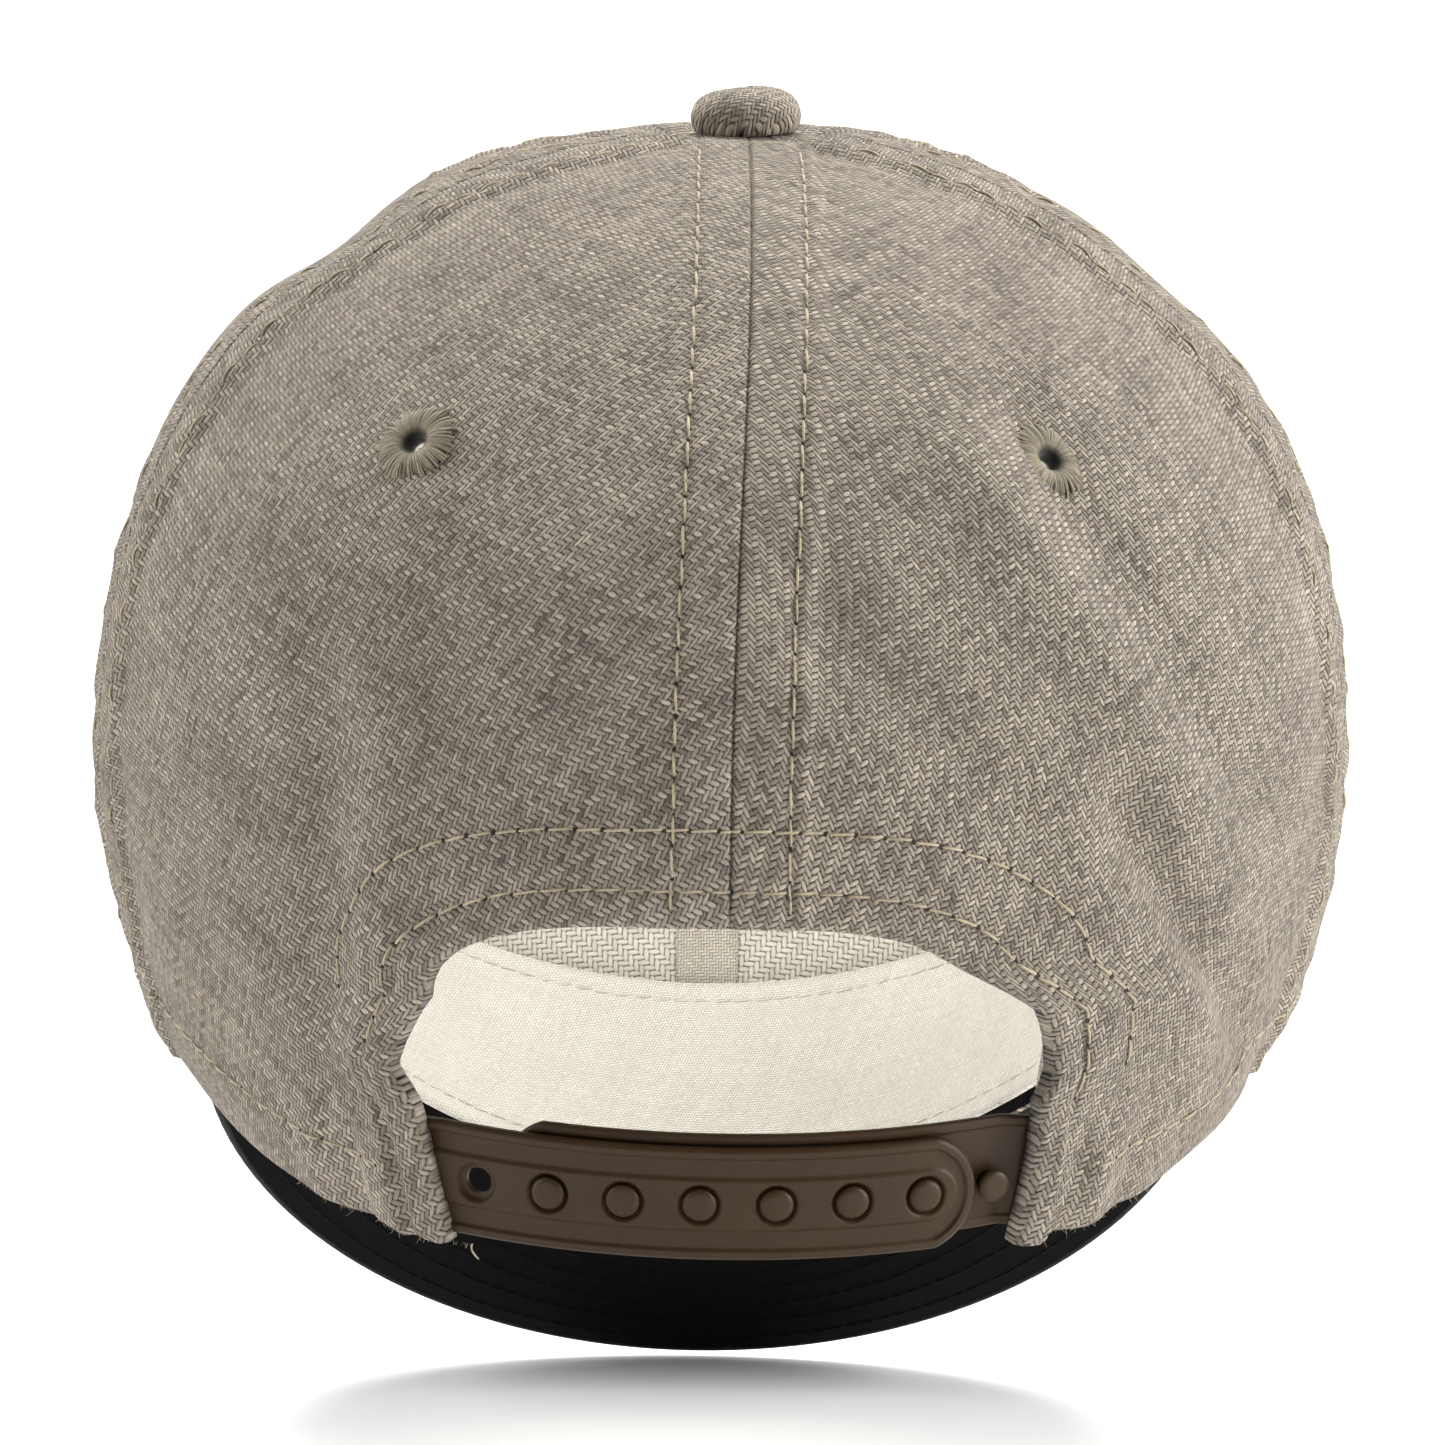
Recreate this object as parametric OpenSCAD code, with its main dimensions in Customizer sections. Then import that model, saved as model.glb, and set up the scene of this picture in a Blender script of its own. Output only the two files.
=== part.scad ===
/* [Crown] */
// Half width of the crown at its widest level
crown_half_w = 89.2; // [80:0.1:98]
// Distance from the middle to the back of the crown at its widest level
crown_back = 94; // [86:0.5:102]
// Distance from the middle to the front of the crown at its widest level
crown_front = 96; // [88:0.5:104]
// Height of the widest level above the lower edge of the back strap
crown_mid_z = 64; // [58:0.5:70]
// Height of the crown's top above the lower edge of the back strap
crown_top_z = 153.5; // [140:0.5:165]
// Squareness of the dome: 2 is an ellipse, more is boxier
dome_power = 2.4; // [2:0.05:2.8]
// How far the crown's top falls towards the back, as a slope
top_slope = 0.22; // [0:0.01:0.3]
// Thickness of the crown fabric with its seam layers
fabric_t = 1.2; // [0.8:0.1:1.4]

/* [Rim] */
// Half width of the head opening at the rim
rim_half_w = 79; // [72:0.5:84]
// Distance from the middle to the back of the rim
rim_back = 85.5; // [80:0.5:90]
// Distance from the middle to the front of the rim
rim_front = 90; // [84:0.5:94]
// Height of the rim above the ears
rim_side_z = 27; // [20:1:32]
// Height of the rim at the middle of the front
rim_front_z = -9; // [-14:1:-4]
// Half angle that the visor's root takes up, from the front
visor_root_angle = 58; // [52:1:64]

/* [Rear opening] */
// Half angle of the opening over the strap
arch_half_angle = 28; // [25:0.5:31]
// Height of the opening's top edge
arch_top_z = 42.5; // [36:0.5:50]
// Squareness of the opening: 2 is an ellipse, more is boxier
arch_power = 3.2; // [2.4:0.1:4]

/* [Visor] */
// Half width of the visor
visor_half_w = 81; // [74:0.5:88]
// Length of the visor along its middle
visor_length = 67.7; // [60:0.1:76]
// Slope of the visor, as fall over forward distance
visor_slope = 0.66; // [0.5:0.01:0.8]
// Thickness of the visor's stiff board
board_t = 2.6; // [2:0.1:3]
// Thickness of each of the visor's fabric covers
cover_t = 0.8; // [0.5:0.1:1]

/* [Snap strap] */
// Width of each strap
strap_w = 14.8; // [14:0.1:15]
// Spacing of the studs and holes along the strap
snap_pitch = 9.7; // [9:0.1:10.5]
// Number of studs, and of holes
snap_count = 7; // [5:1:7]
// Radius of the outer strap's outer face
strap_r = 80; // [76:1:84]
// Lean of the straps, lower edge inwards, in degrees
strap_lean = 16; // [12:1:20]
// Radius of the through hole of a snap
snap_hole_r = 1.75; // [1.6:0.05:1.9]
// Radius of a stud's head
stud_head_r = 2.15; // [2:0.05:2.2]

/* [Button and eyelets] */
// Diameter of the covered button on top
button_d = 15.5; // [14:0.1:17]
// Height of the covered button
button_h = 5.8; // [5:0.1:7]
// Outer radius of a vent eyelet's thread ring
eyelet_r = 5.4; // [4.5:0.1:6]
// Radius of a vent eyelet's hole
eyelet_hole_r = 1.5; // [1.2:0.1:1.8]

/* [Hidden] */
$fn = 64;

// Azimuth 0 is the middle of the back, +90 the wearer's left side, 180 the middle of the front.
// Level u is 0 at the crown's top, 1 at its widest level and 2 at the rim.
top_y = 2;                 // where the crown's top stands, front to back
taper_power = 2.1;         // how roundly the crown draws in below its widest level
rear_rim_power = 3.7;      // how sharply the rim rises from the strap to the ears
layer_gap = 0.35;          // air between sewn layers
seam_gap = 0.1;            // half the gap between two panels at a seam, in degrees
top_hole_u = 0.012;        // level where the panels end round the button's rivet
rows = 20;                 // steps down each panel, which the linings and tapes share
buckram_d = fabric_t + layer_gap;
buckram_t = 0.8;
tape_t = 0.5;
tape_w = 12;
foam_d = 3.6;
foam_t = 0.7;
band_d = foam_d + foam_t + layer_gap;
band_t = 1;
band_h = 32;
root_d = 1.7;
root_t = 1.3;
eyelet_u = 0.7;
fabric = [0.66, 0.62, 0.56];
black = [0.05, 0.05, 0.055];
brown = [0.23, 0.18, 0.13];
white = [0.85, 0.84, 0.8];

// ---- the crown's surface ----

function clamp01(x) = min(1, max(0, x));
function front_reach(a) = -cos(a);
function visor_plane_z(y) = rim_front_z + visor_slope * (y + rim_front);
root_reach = cos(visor_root_angle);
root_corner_z = visor_plane_z(-rim_front * root_reach);
side_rise = rim_side_z - root_corner_z;
side_power = visor_slope * rim_front * root_reach / side_rise;

function rim_z(a) =
    front_reach(a) <= 0 ? rim_side_z * pow(abs(sin(a)), rear_rim_power)
    : front_reach(a) >= root_reach ? visor_plane_z(-rim_front * front_reach(a))
    : rim_side_z - side_rise * pow(front_reach(a) / root_reach, side_power);

function rim_point(a) = [rim_half_w * sin(a), (cos(a) > 0 ? rim_back : rim_front) * cos(a), rim_z(a)];
function mid_point(a) =
    [crown_half_w * sin(a), (cos(a) > 0 ? crown_back : crown_front) * cos(a), crown_mid_z];

function dome_point(a, u) =
    let (
        out = pow(sin(90 * u), 2 / dome_power),
        up = pow(cos(90 * u), 2 / dome_power),
        m = mid_point(a),
        y = top_y + (m[1] - top_y) * out
    )
    [m[0] * out, y, crown_mid_z + (crown_top_z - crown_mid_z) * up - top_slope * (y - top_y) * up];

function skirt_point(a, u) =
    let (
        m = mid_point(a),
        r = rim_point(a),
        q = pow(u - 1, taper_power)
    )
    [m[0] + (r[0] - m[0]) * q, m[1] + (r[1] - m[1]) * q, m[2] + (r[2] - m[2]) * (u - 1)];

function crown_point(a, u) = u <= 1 ? dome_point(a, max(u, 0)) : skirt_point(a, u);

function unit(v) = v / norm(v);
function crown_normal(a, u) =
    let (v = max(u, 0.02))
    unit(cross(crown_point(a + 1, v) - crown_point(a - 1, v),
               crown_point(a, v + 0.01) - crown_point(a, v - 0.01)));

// A point at depth d inside the crown's outer face
function layer_point(a, u, d) = crown_point(a, u) - d * crown_normal(a, u);

// ---- seams and edges, for one side; the other side is its mirror image ----

function rear_seam(u) = 56 + 18 * clamp01(u);
function front_seam(u) = 118 + 6 * clamp01(u);
arch_top_u = 1 + (crown_mid_z - arch_top_z) / crown_mid_z;
function arch_u(a) =
    a >= arch_half_angle ? 2
    : 2 - (2 - arch_top_u) * pow(1 - pow(a / arch_half_angle, arch_power), 1 / arch_power);

// ---- thin shells: a grid of [azimuth, level] pairs between two depths ----

function quads(i, j, w, flip) =
    let (a = i * w + j, b = a + 1, c = a + w, d = c + 1)
    flip ? [[a, b, d], [a, d, c]] : [[a, d, b], [a, c, d]];

module shell(grid, depth, thickness, side = 1) {
    rows = len(grid);
    w = len(grid[0]);
    n = rows * w;
    outer = [for (r = grid, p = r) layer_point(p[0] * side, p[1], depth)];
    inner = [for (r = grid, p = r) layer_point(p[0] * side, p[1], depth + thickness)];
    rim = concat(
        [for (j = [0:w - 1]) j],
        [for (i = [1:rows - 1]) i * w + w - 1],
        [for (j = [w - 2:-1:0]) (rows - 1) * w + j],
        [for (i = [rows - 2:-1:1]) i * w]
    );
    face = concat(
        [for (i = [0:rows - 2], j = [0:w - 2]) each quads(i, j, w, side > 0)],
        [for (i = [0:rows - 2], j = [0:w - 2]) each [for (q = quads(i, j, w, side < 0)) q + [n, n, n]]],
        [for (k = [0:len(rim) - 1])
            let (p = rim[k], q = rim[(k + 1) % len(rim)])
            each side < 0 ? [[p, q, q + n], [p, q + n, p + n]] : [[q, p, p + n], [q, p + n, q + n]]]
    );
    polyhedron(concat(outer, inner), face);
}

// Each grid is written out as rows of points, from the top or one end to the other
function steps(count) = [for (k = [0:count]) k / count];
function level(k, bottom = 2) = top_hole_u + (bottom - top_hole_u) * k / rows;
function cosine_steps(count) = [for (k = [0:count]) (1 - cos(180 * k / count)) / 2];

module rear_panel(side) {
    across = concat([for (s = cosine_steps(7)) s * arch_half_angle / rear_seam(2)],
                    [for (s = steps(6)) if (s > 0) let (c = arch_half_angle / rear_seam(2)) c + (1 - c) * s]);
    grid = [for (k = [0:rows])
        [for (s = across)
            let (u = level(k, arch_u(s * rear_seam(2))))
            [seam_gap + s * (rear_seam(u) - 2 * seam_gap), u]]];
    eyelet_holed(side * rear_eyelet_a) shell(grid, 0, fabric_t, side);
}

module side_panel(side) {
    grid = [for (k = [0:rows])
        [for (s = steps(8))
            let (u = level(k))
            [rear_seam(u) + seam_gap + s * (front_seam(u) - rear_seam(u) - 2 * seam_gap), u]]];
    eyelet_holed(side * side_eyelet_a) shell(grid, 0, fabric_t, side);
}

function front_grid(first, last) =
    [for (k = [first:last])
        [for (s = steps(9))
            let (u = level(k))
            [front_seam(u) + seam_gap + s * (180 - front_seam(u) - 2 * seam_gap), u]]];

module front_panel(side) {
    eyelet_holed(side * front_eyelet_a) shell(front_grid(0, rows), 0, fabric_t, side);
}

module buckram(side) {
    eyelet_holed(side * front_eyelet_a) shell(front_grid(1, rows - 1), buckram_d, buckram_t, side);
}

// A strip of tape centred on a seam; its azimuth half width keeps a constant width in millimetres
module seam_tape(azimuth_top, azimuth_low, depth, side = 1, bottom = 2) {
    grid = [for (k = [1:rows - 1])
        let (
            u = level(k, bottom),
            a = azimuth_top + (azimuth_low - azimuth_top) * clamp01(u),
            p = crown_point(a, u),
            half = atan(tape_w / 2 / norm([p[0], p[1] - top_y]))
        )
        [for (s = [-1, 0, 1]) [a + s * half, u]]];
    shell(grid, depth, tape_t, side);
}

// A strip that follows the rim from one side of the rear opening round the front to the other
module rim_strip(depth, thickness, height, bottom_u, end_angle) {
    grid = [for (s = steps(44))
        let (
            a = 360 - end_angle - (360 - 2 * end_angle) * s,
            drop = crown_mid_z - rim_z(a)
        )
        [for (v = [1, 0.5, 0]) [a, bottom_u - v * height / drop]]];
    shell(grid, depth, thickness);
}

module arch_facing() {
    facing_w = 11;
    widen_a = facing_w / rim_back * 180 / PI;
    widen_u = facing_w / crown_mid_z;
    leg = 17;
    grid = [for (s = steps(36))
        let (
            phi = leg + (180 - 2 * leg) * s,
            ca = sign(cos(phi)) * pow(abs(cos(phi)), 2 / arch_power),
            su = pow(sin(phi), 2 / arch_power)
        )
        [for (w = [1, 0.5, 0.04])
            [ca * (arch_half_angle + w * widen_a), 2 - (2 - arch_top_u + w * widen_u) * su]]];
    shell(grid, fabric_t + 2 * layer_gap, tape_t);
}

// ---- vent eyelets: a ring of thread outside and inside, joined through the fabric ----

rear_eyelet_a = 0.45 * rear_seam(eyelet_u);
side_eyelet_a = (rear_seam(eyelet_u) + front_seam(eyelet_u)) / 2;
front_eyelet_a = (front_seam(eyelet_u) + 180) / 2;

module on_crown(a) {
    p = crown_point(a, eyelet_u);
    n = crown_normal(a, eyelet_u);
    translate(p) rotate([0, acos(n[2]), atan2(n[1], n[0])]) children();
}

module eyelet_holed(a) {
    difference() {
        children();
        on_crown(a) translate([0, 0, -6]) cylinder(h = 12, r = eyelet_hole_r + 0.9);
    }
}

module eyelet(a) {
    depth = abs(a) > front_seam(1) ? buckram_d + buckram_t : fabric_t;
    sleeve_r = eyelet_hole_r + 0.7;
    clear = 0.25;
    back = -depth - 0.75;
    on_crown(a) rotate_extrude() polygon([
        [eyelet_hole_r, back - 0.6],
        [eyelet_r - 1, back - 0.6],
        [eyelet_r - 1, back],
        [sleeve_r, back],
        [sleeve_r, clear],
        [eyelet_r, clear],
        [eyelet_r - 0.5, clear + 0.8],
        [eyelet_hole_r + 0.5, clear + 1],
        [eyelet_hole_r, clear + 0.6]
    ]);
}

// ---- the button on top ----

module at_top() {
    translate([0, top_y, crown_top_z]) rotate([-atan(top_slope), 0, 0]) children();
}

// A domed cup: quarter ellipses outside and inside, open below
module dome_cup(r_out, h_out, r_in, h_in, base) {
    rotate_extrude() polygon(concat(
        [for (k = [0:12]) [r_out * pow(cos(7.5 * k), 0.6), base + h_out * pow(sin(7.5 * k), 0.75)]],
        [for (k = [12:-1:0]) [r_in * pow(cos(7.5 * k), 0.6), base + h_in * pow(sin(7.5 * k), 0.75)]]
    ));
}

module button_cover() {
    dome_cup(button_d / 2, button_h - 0.3, button_d / 2 - 0.7, button_h - 1, 0.3);
}

module button_shell() {
    dome_cup(button_d / 2 - 0.9, button_h - 1.2, button_d / 2 - 1.7, button_h - 2, 0.3);
}

module button_rivet() {
    translate([0, 0, 2.9]) cylinder(h = 0.5, r = 3.4);
    translate([0, 0, -4.6]) cylinder(h = 7.8, r = 1.2);
}

module button_back() {
    difference() {
        translate([0, 0, -3.9]) cylinder(h = 2.2, r = 6.8);
        translate([0, 0, -5]) cylinder(h = 5, r = 1.4);
    }
}

// ---- the visor, drawn flat and then laid in its slope ----

visor_angle = atan(visor_slope);
board_z = cover_t + layer_gap;
visor_t = 2 * cover_t + 2 * layer_gap + board_t;
widest_s = -30 / cos(visor_angle);          // where the visor is widest, behind its root's middle
visor_front_reach = visor_length - widest_s;
visor_back_reach = 26;

function visor_edge(inset) = concat(
    [for (k = [0:2:180]) [(visor_half_w - inset) * cos(k),
                          widest_s + (visor_front_reach - inset) * sin(k)]],
    [for (k = [182:4:358]) [(visor_half_w - inset) * cos(k),
                            widest_s + (visor_back_reach - inset) * sin(k)]]
);

function ellipse_points(rx, ry, cy) = [for (k = [0:2:358]) [rx * cos(k), cy + ry * sin(k)]];

module crown_cut(clear) {
    depth = rim_front / cos(visor_angle);
    polygon(ellipse_points(rim_half_w + 1.6 + clear, depth + clear, -depth));
}

module visor_layer(bottom, thickness, inset) {
    translate([0, 0, bottom]) linear_extrude(thickness) difference() {
        polygon(visor_edge(inset));
        crown_cut(1.4);
    }
}

// +Y of the flat drawing becomes forward and down along the visor
module in_visor_slope() {
    translate([0, -rim_front, rim_front_z]) rotate([visor_angle, 0, 0]) mirror([0, 1, 0]) children();
}

module visor_edge_binding() {
    translate([0, 0, -0.2]) linear_extrude(visor_t + 0.4) difference() {
        polygon(visor_edge(0));
        polygon(visor_edge(1.4));
        crown_cut(1.4);
    }
}

// ---- the snap strap: two curved bands, one with studs and one with holes ----

strap_t = 1.6;                      // outer band with its raised border
border_h = 0.4;                     // height of the raised border and middle band
inner_t = 1.3;                      // inner band
strap_gap = 0.3;                    // air between the two bands
pitch_angle = snap_pitch / strap_r * 180 / PI;
first_hole_angle = 23;              // the hole nearest the outer band's root
flex_angle = arch_half_angle - 1.2; // where each band leaves the fabric
tip_reach = 6.9;                    // from a band's last snap to its tip
strap_mid_z = 7.4;                  // height of the outer band's middle at the back
inner_lift = 1.2;                   // the inner band rides this much higher
inner_face_r = strap_r - strap_t;
stud_band_r = inner_face_r - strap_gap;

module in_strap_frame() {
    translate([0, 85.3, strap_mid_z]) rotate([-strap_lean, 0, 0]) translate([0, -strap_r, 0]) children();
}

// Angles are measured from the middle of the back towards the wearer's left
module at_strap_angle(a) {
    rotate([0, 0, 90 - a]) children();
}

module ring_sector(r_in, r_out, width, a_from, a_to) {
    rotate([0, 0, 90 - a_to]) rotate_extrude(angle = a_to - a_from)
        translate([r_in, -width / 2]) square([r_out - r_in, width]);
}

// A band whose far corners are cut round, and whose tip is `tip_reach` past its last snap
module band_to_tip(r_in, r_out, root_a, last_snap_a) {
    dir = sign(last_snap_a - root_a);
    round_r = strap_w / 2 + 0.4;
    tip_a = last_snap_a - dir * arc_angle(round_r - tip_reach);
    end_a = tip_a + dir * 8;
    difference() {
        ring_sector(r_in, r_out, strap_w, min(root_a, end_a), max(root_a, end_a));
        at_strap_angle(tip_a) difference() {
            translate([r_in - 3, -dir * 10 - 10, -strap_w]) cube([r_out - r_in + 6, 20, 2 * strap_w]);
            translate([r_in - 4, 0, 0]) rotate([0, 90, 0]) cylinder(h = r_out - r_in + 8, r = round_r);
        }
    }
}

function hole_angle(k) = first_hole_angle - k * pitch_angle;
last_hole_angle = hole_angle(snap_count - 1);
function arc_angle(length) = length / strap_r * 180 / PI;

// The sunk channels between the raised border and the raised middle band
module strap_channels(base_r, mid_w, border) {
    channel_w = (strap_w - mid_w) / 2 - border;
    for (side = [-1, 1])
        translate([0, 0, side * (mid_w + channel_w) / 2])
            ring_sector(base_r, strap_r + 2, channel_w, last_hole_angle - 1, flex_angle - 2.5);
}

module strap_with_holes() {
    difference() {
        band_to_tip(inner_face_r, strap_r, flex_angle, last_hole_angle);
        strap_channels(strap_r - border_h, 6.8, 1.3);
        for (k = [0:snap_count - 1])
            at_strap_angle(hole_angle(k)) rotate([0, 90, 0]) {
                translate([0, 0, inner_face_r - 3]) cylinder(h = 8, r = snap_hole_r);
                translate([0, 0, strap_r - 0.8]) cylinder(h = 5, r = stud_head_r + 0.45);
            }
    }
}

module strap_with_studs() {
    head_from = strap_r - 0.6;
    translate([0, 0, inner_lift])
        band_to_tip(stud_band_r - inner_t, stud_band_r, -flex_angle, hole_angle(1));
    for (k = [1:snap_count])
        at_strap_angle(hole_angle(k)) rotate([0, 90, 0]) {
            translate([0, 0, stud_band_r - 0.5]) cylinder(h = head_from - stud_band_r + 0.6, r = 1.4);
            translate([0, 0, head_from]) cylinder(h = 0.7, r = stud_head_r);
            translate([0, 0, head_from + 0.7]) cylinder(h = 0.6, r1 = stud_head_r, r2 = stud_head_r - 0.7);
        }
}

// The sewn end of each band, held between the fabric and the sweatband
module strap_root(side, lift) {
    from_a = arch_half_angle + 1.4;
    to_a = arch_half_angle + 10;
    z_low = 0.6 + lift;
    grid = [for (v = steps(2))
        [for (s = steps(4))
            let (
                a = from_a + (to_a - from_a) * s,
                z = z_low + (strap_w - 0.6) * cos(strap_lean) * (1 - v) + rim_z(a)
            )
            [a, 1 + (crown_mid_z - z) / (crown_mid_z - rim_z(a))]]];
    shell(grid, root_d, root_t, side);
}

// ---- nodes ----

color(fabric) front_panel(1);  // panel_front_left
color(fabric) front_panel(-1);  // panel_front_right
color(fabric) side_panel(1);  // panel_side_left
color(fabric) side_panel(-1);  // panel_side_right
color(fabric) rear_panel(1);  // panel_rear_left
color(fabric) rear_panel(-1);  // panel_rear_right
color(white) buckram(1);  // buckram_left
color(white) buckram(-1);  // buckram_right
tape_front_d = buckram_d + buckram_t + layer_gap;
tape_rear_d = fabric_t + layer_gap;
color(black) seam_tape(180, 180, tape_front_d);  // seam_tape_front_centre
color(black) seam_tape(118, 124, tape_front_d);  // seam_tape_front_left
color(black) seam_tape(118, 124, tape_front_d, -1);  // seam_tape_front_right
color(black) seam_tape(56, 74, tape_rear_d);  // seam_tape_rear_left
color(black) seam_tape(56, 74, tape_rear_d, -1);  // seam_tape_rear_right
color(black) seam_tape(0, 0, tape_rear_d, 1, arch_top_u - 0.13);  // seam_tape_rear_centre
color(black) rim_strip(band_d, band_t, band_h, 1.99, 31);  // sweatband
color(white) rim_strip(foam_d, foam_t, band_h - 4, 1.95, 31);  // sweatband_foam
color(black) arch_facing();  // rear_arch_facing
color(fabric) at_top() button_cover();
color("silver") at_top() button_shell();
color("silver") at_top() button_rivet();
color(black) at_top() button_back();
color(fabric) eyelet(front_eyelet_a);  // eyelet_front_left
color(fabric) eyelet(-front_eyelet_a);  // eyelet_front_right
color(fabric) eyelet(side_eyelet_a);  // eyelet_side_left
color(fabric) eyelet(-side_eyelet_a);  // eyelet_side_right
color(fabric) eyelet(rear_eyelet_a);  // eyelet_rear_left
color(fabric) eyelet(-rear_eyelet_a);  // eyelet_rear_right
color(white) in_visor_slope() visor_layer(board_z, board_t, 1.7);  // visor_board
color(black) in_visor_slope() visor_layer(board_z + board_t + layer_gap, cover_t, 1.6);  // visor_top_cover
color(black) in_visor_slope() visor_layer(0, cover_t, 1.6);  // visor_under_cover
color(black) in_visor_slope() visor_edge_binding();
color(brown) in_strap_frame() strap_with_holes();
color(brown) strap_root(1, 0);  // strap_with_holes_root
color(brown) in_strap_frame() strap_with_studs();
color(brown) strap_root(-1, inner_lift);  // strap_with_studs_root
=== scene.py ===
"""The looks of a six-panel snapback cap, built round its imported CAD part.

Metres, +Z up, -Y forward, +X the wearer's left.
"""
import math

import bmesh
import bpy
import numpy as np
from mathutils import Matrix, Vector


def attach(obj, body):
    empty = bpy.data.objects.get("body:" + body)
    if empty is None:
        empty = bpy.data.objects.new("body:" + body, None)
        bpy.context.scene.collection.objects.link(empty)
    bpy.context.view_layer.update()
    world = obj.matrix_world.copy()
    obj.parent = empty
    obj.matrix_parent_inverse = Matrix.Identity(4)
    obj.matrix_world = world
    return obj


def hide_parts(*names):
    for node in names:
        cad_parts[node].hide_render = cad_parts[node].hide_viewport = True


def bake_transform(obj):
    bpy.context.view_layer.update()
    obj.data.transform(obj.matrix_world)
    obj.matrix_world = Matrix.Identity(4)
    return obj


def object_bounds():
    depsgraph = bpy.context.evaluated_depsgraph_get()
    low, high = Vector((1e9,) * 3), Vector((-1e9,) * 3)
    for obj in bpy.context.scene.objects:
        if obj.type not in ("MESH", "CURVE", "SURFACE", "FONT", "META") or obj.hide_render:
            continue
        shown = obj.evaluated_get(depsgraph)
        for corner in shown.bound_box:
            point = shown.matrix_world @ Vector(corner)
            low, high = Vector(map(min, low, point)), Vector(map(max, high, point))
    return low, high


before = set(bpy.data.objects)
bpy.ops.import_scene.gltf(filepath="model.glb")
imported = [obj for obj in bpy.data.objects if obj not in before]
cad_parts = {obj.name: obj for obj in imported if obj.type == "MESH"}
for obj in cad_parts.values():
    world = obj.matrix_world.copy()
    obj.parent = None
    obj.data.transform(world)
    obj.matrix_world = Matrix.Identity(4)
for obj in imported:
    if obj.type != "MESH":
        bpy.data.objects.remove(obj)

CAD_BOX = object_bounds()
MM = 0.001
rng = np.random.default_rng(7)

# ---- the crown's surface, as the CAD part draws it ----
# Azimuth 0 is the middle of the back, +90 the wearer's left side, 180 the middle of the front, in degrees.
# Level u is 0 at the crown's top, 1 at its widest level and 2 at the rim.

HALF_W, BACK, FRONT = 89.2 * MM, 94 * MM, 96 * MM
MID_Z, TOP_Z, TOP_Y = 64 * MM, 153.5 * MM, 2 * MM
DOME_POWER, TOP_SLOPE, TAPER_POWER = 2.4, 0.22, 2.1
RIM_HALF_W, RIM_BACK, RIM_FRONT = 79 * MM, 85.5 * MM, 90 * MM
RIM_SIDE_Z, RIM_FRONT_Z, REAR_RIM_POWER = 27 * MM, -9 * MM, 3.7
VISOR_SLOPE = 0.66
ROOT_REACH = math.cos(math.radians(58))
ARCH_HALF, ARCH_TOP_Z = 28.0, 42.5 * MM
ARCH_TOP_U = 1 + (MID_Z - ARCH_TOP_Z) / MID_Z
TOP_HOLE_U = 0.012
EYELET_U = 0.69


def visor_plane_z(y):
    return RIM_FRONT_Z + VISOR_SLOPE * (y + RIM_FRONT)


def rim_z(azimuth):
    reach = -np.cos(np.radians(azimuth))
    corner_z = visor_plane_z(-RIM_FRONT * ROOT_REACH)
    side_rise = RIM_SIDE_Z - corner_z
    side_power = VISOR_SLOPE * RIM_FRONT * ROOT_REACH / side_rise
    rear = RIM_SIDE_Z * np.abs(np.sin(np.radians(azimuth))) ** REAR_RIM_POWER
    side = RIM_SIDE_Z - side_rise * (np.maximum(reach, 0) / ROOT_REACH) ** side_power
    front = visor_plane_z(-RIM_FRONT * reach)
    return np.where(reach <= 0, rear, np.where(reach >= ROOT_REACH, front, side))


def crown_point(azimuth, u):
    """Points of the smooth crown, before seams and folds"""
    azimuth, u = np.broadcast_arrays(np.asarray(azimuth, float), np.asarray(u, float))
    s, c = np.sin(np.radians(azimuth)), np.cos(np.radians(azimuth))
    mid_y = np.where(c > 0, BACK, FRONT) * c
    rim_y = np.where(c > 0, RIM_BACK, RIM_FRONT) * c
    quarter = np.radians(90 * np.clip(u, 0, 1))
    out = np.sin(quarter) ** (2 / DOME_POWER)
    up = np.maximum(np.cos(quarter), 0) ** (2 / DOME_POWER)
    dome_y = TOP_Y + (mid_y - TOP_Y) * out
    dome = np.stack([HALF_W * s * out, dome_y,
                     MID_Z + (TOP_Z - MID_Z) * up - TOP_SLOPE * (dome_y - TOP_Y) * up], -1)
    down = np.maximum(u - 1, 0)
    q = down ** TAPER_POWER
    skirt = np.stack([(HALF_W + (RIM_HALF_W - HALF_W) * q) * s, mid_y + (rim_y - mid_y) * q,
                      MID_Z + (rim_z(azimuth) - MID_Z) * down], -1)
    return np.where((u <= 1)[..., None], dome, skirt)


def distance_along(points, axis=0):
    """Distance from the first point of a line to each of its points"""
    step = np.linalg.norm(np.diff(points, axis=axis), axis=-1)
    start = np.zeros_like(np.take(step, [0], axis=axis))
    return np.concatenate([start, np.cumsum(step, axis=axis)], axis)


def smooth(x, low, high):
    """0 below low, 1 above high, and a soft step between"""
    t = np.clip((x - low) / (high - low), 0, 1)
    return t * t * (3 - 2 * t)


def bump_at(x, centre, width):
    return np.exp(-((x - centre) / width) ** 2)


def tab_shift(azimuth, u):
    """How far the cloth beside the rear opening is pulled sideways, in degrees outwards from the middle"""
    side = np.sign(azimuth)
    left = np.interp(u, [1.40, 1.50, 1.65, 1.72, 1.85, 2.0], [1.6, -0.2, 2.1, -0.2, -1.2, -2.0])
    right = np.interp(u, [1.40, 1.46, 1.51, 1.64, 1.70, 2.0], [-1.6, 1.4, 3.2, 2.3, 0.9, 0.4])
    shift = np.where(side > 0, left, right)
    near = smooth(np.abs(azimuth), 10, 26) * (1 - smooth(np.abs(azimuth), 30, 46))
    return side * shift * near * smooth(u, 1.3, 1.5)


TOP_SHIFT = 2.3 * MM


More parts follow.
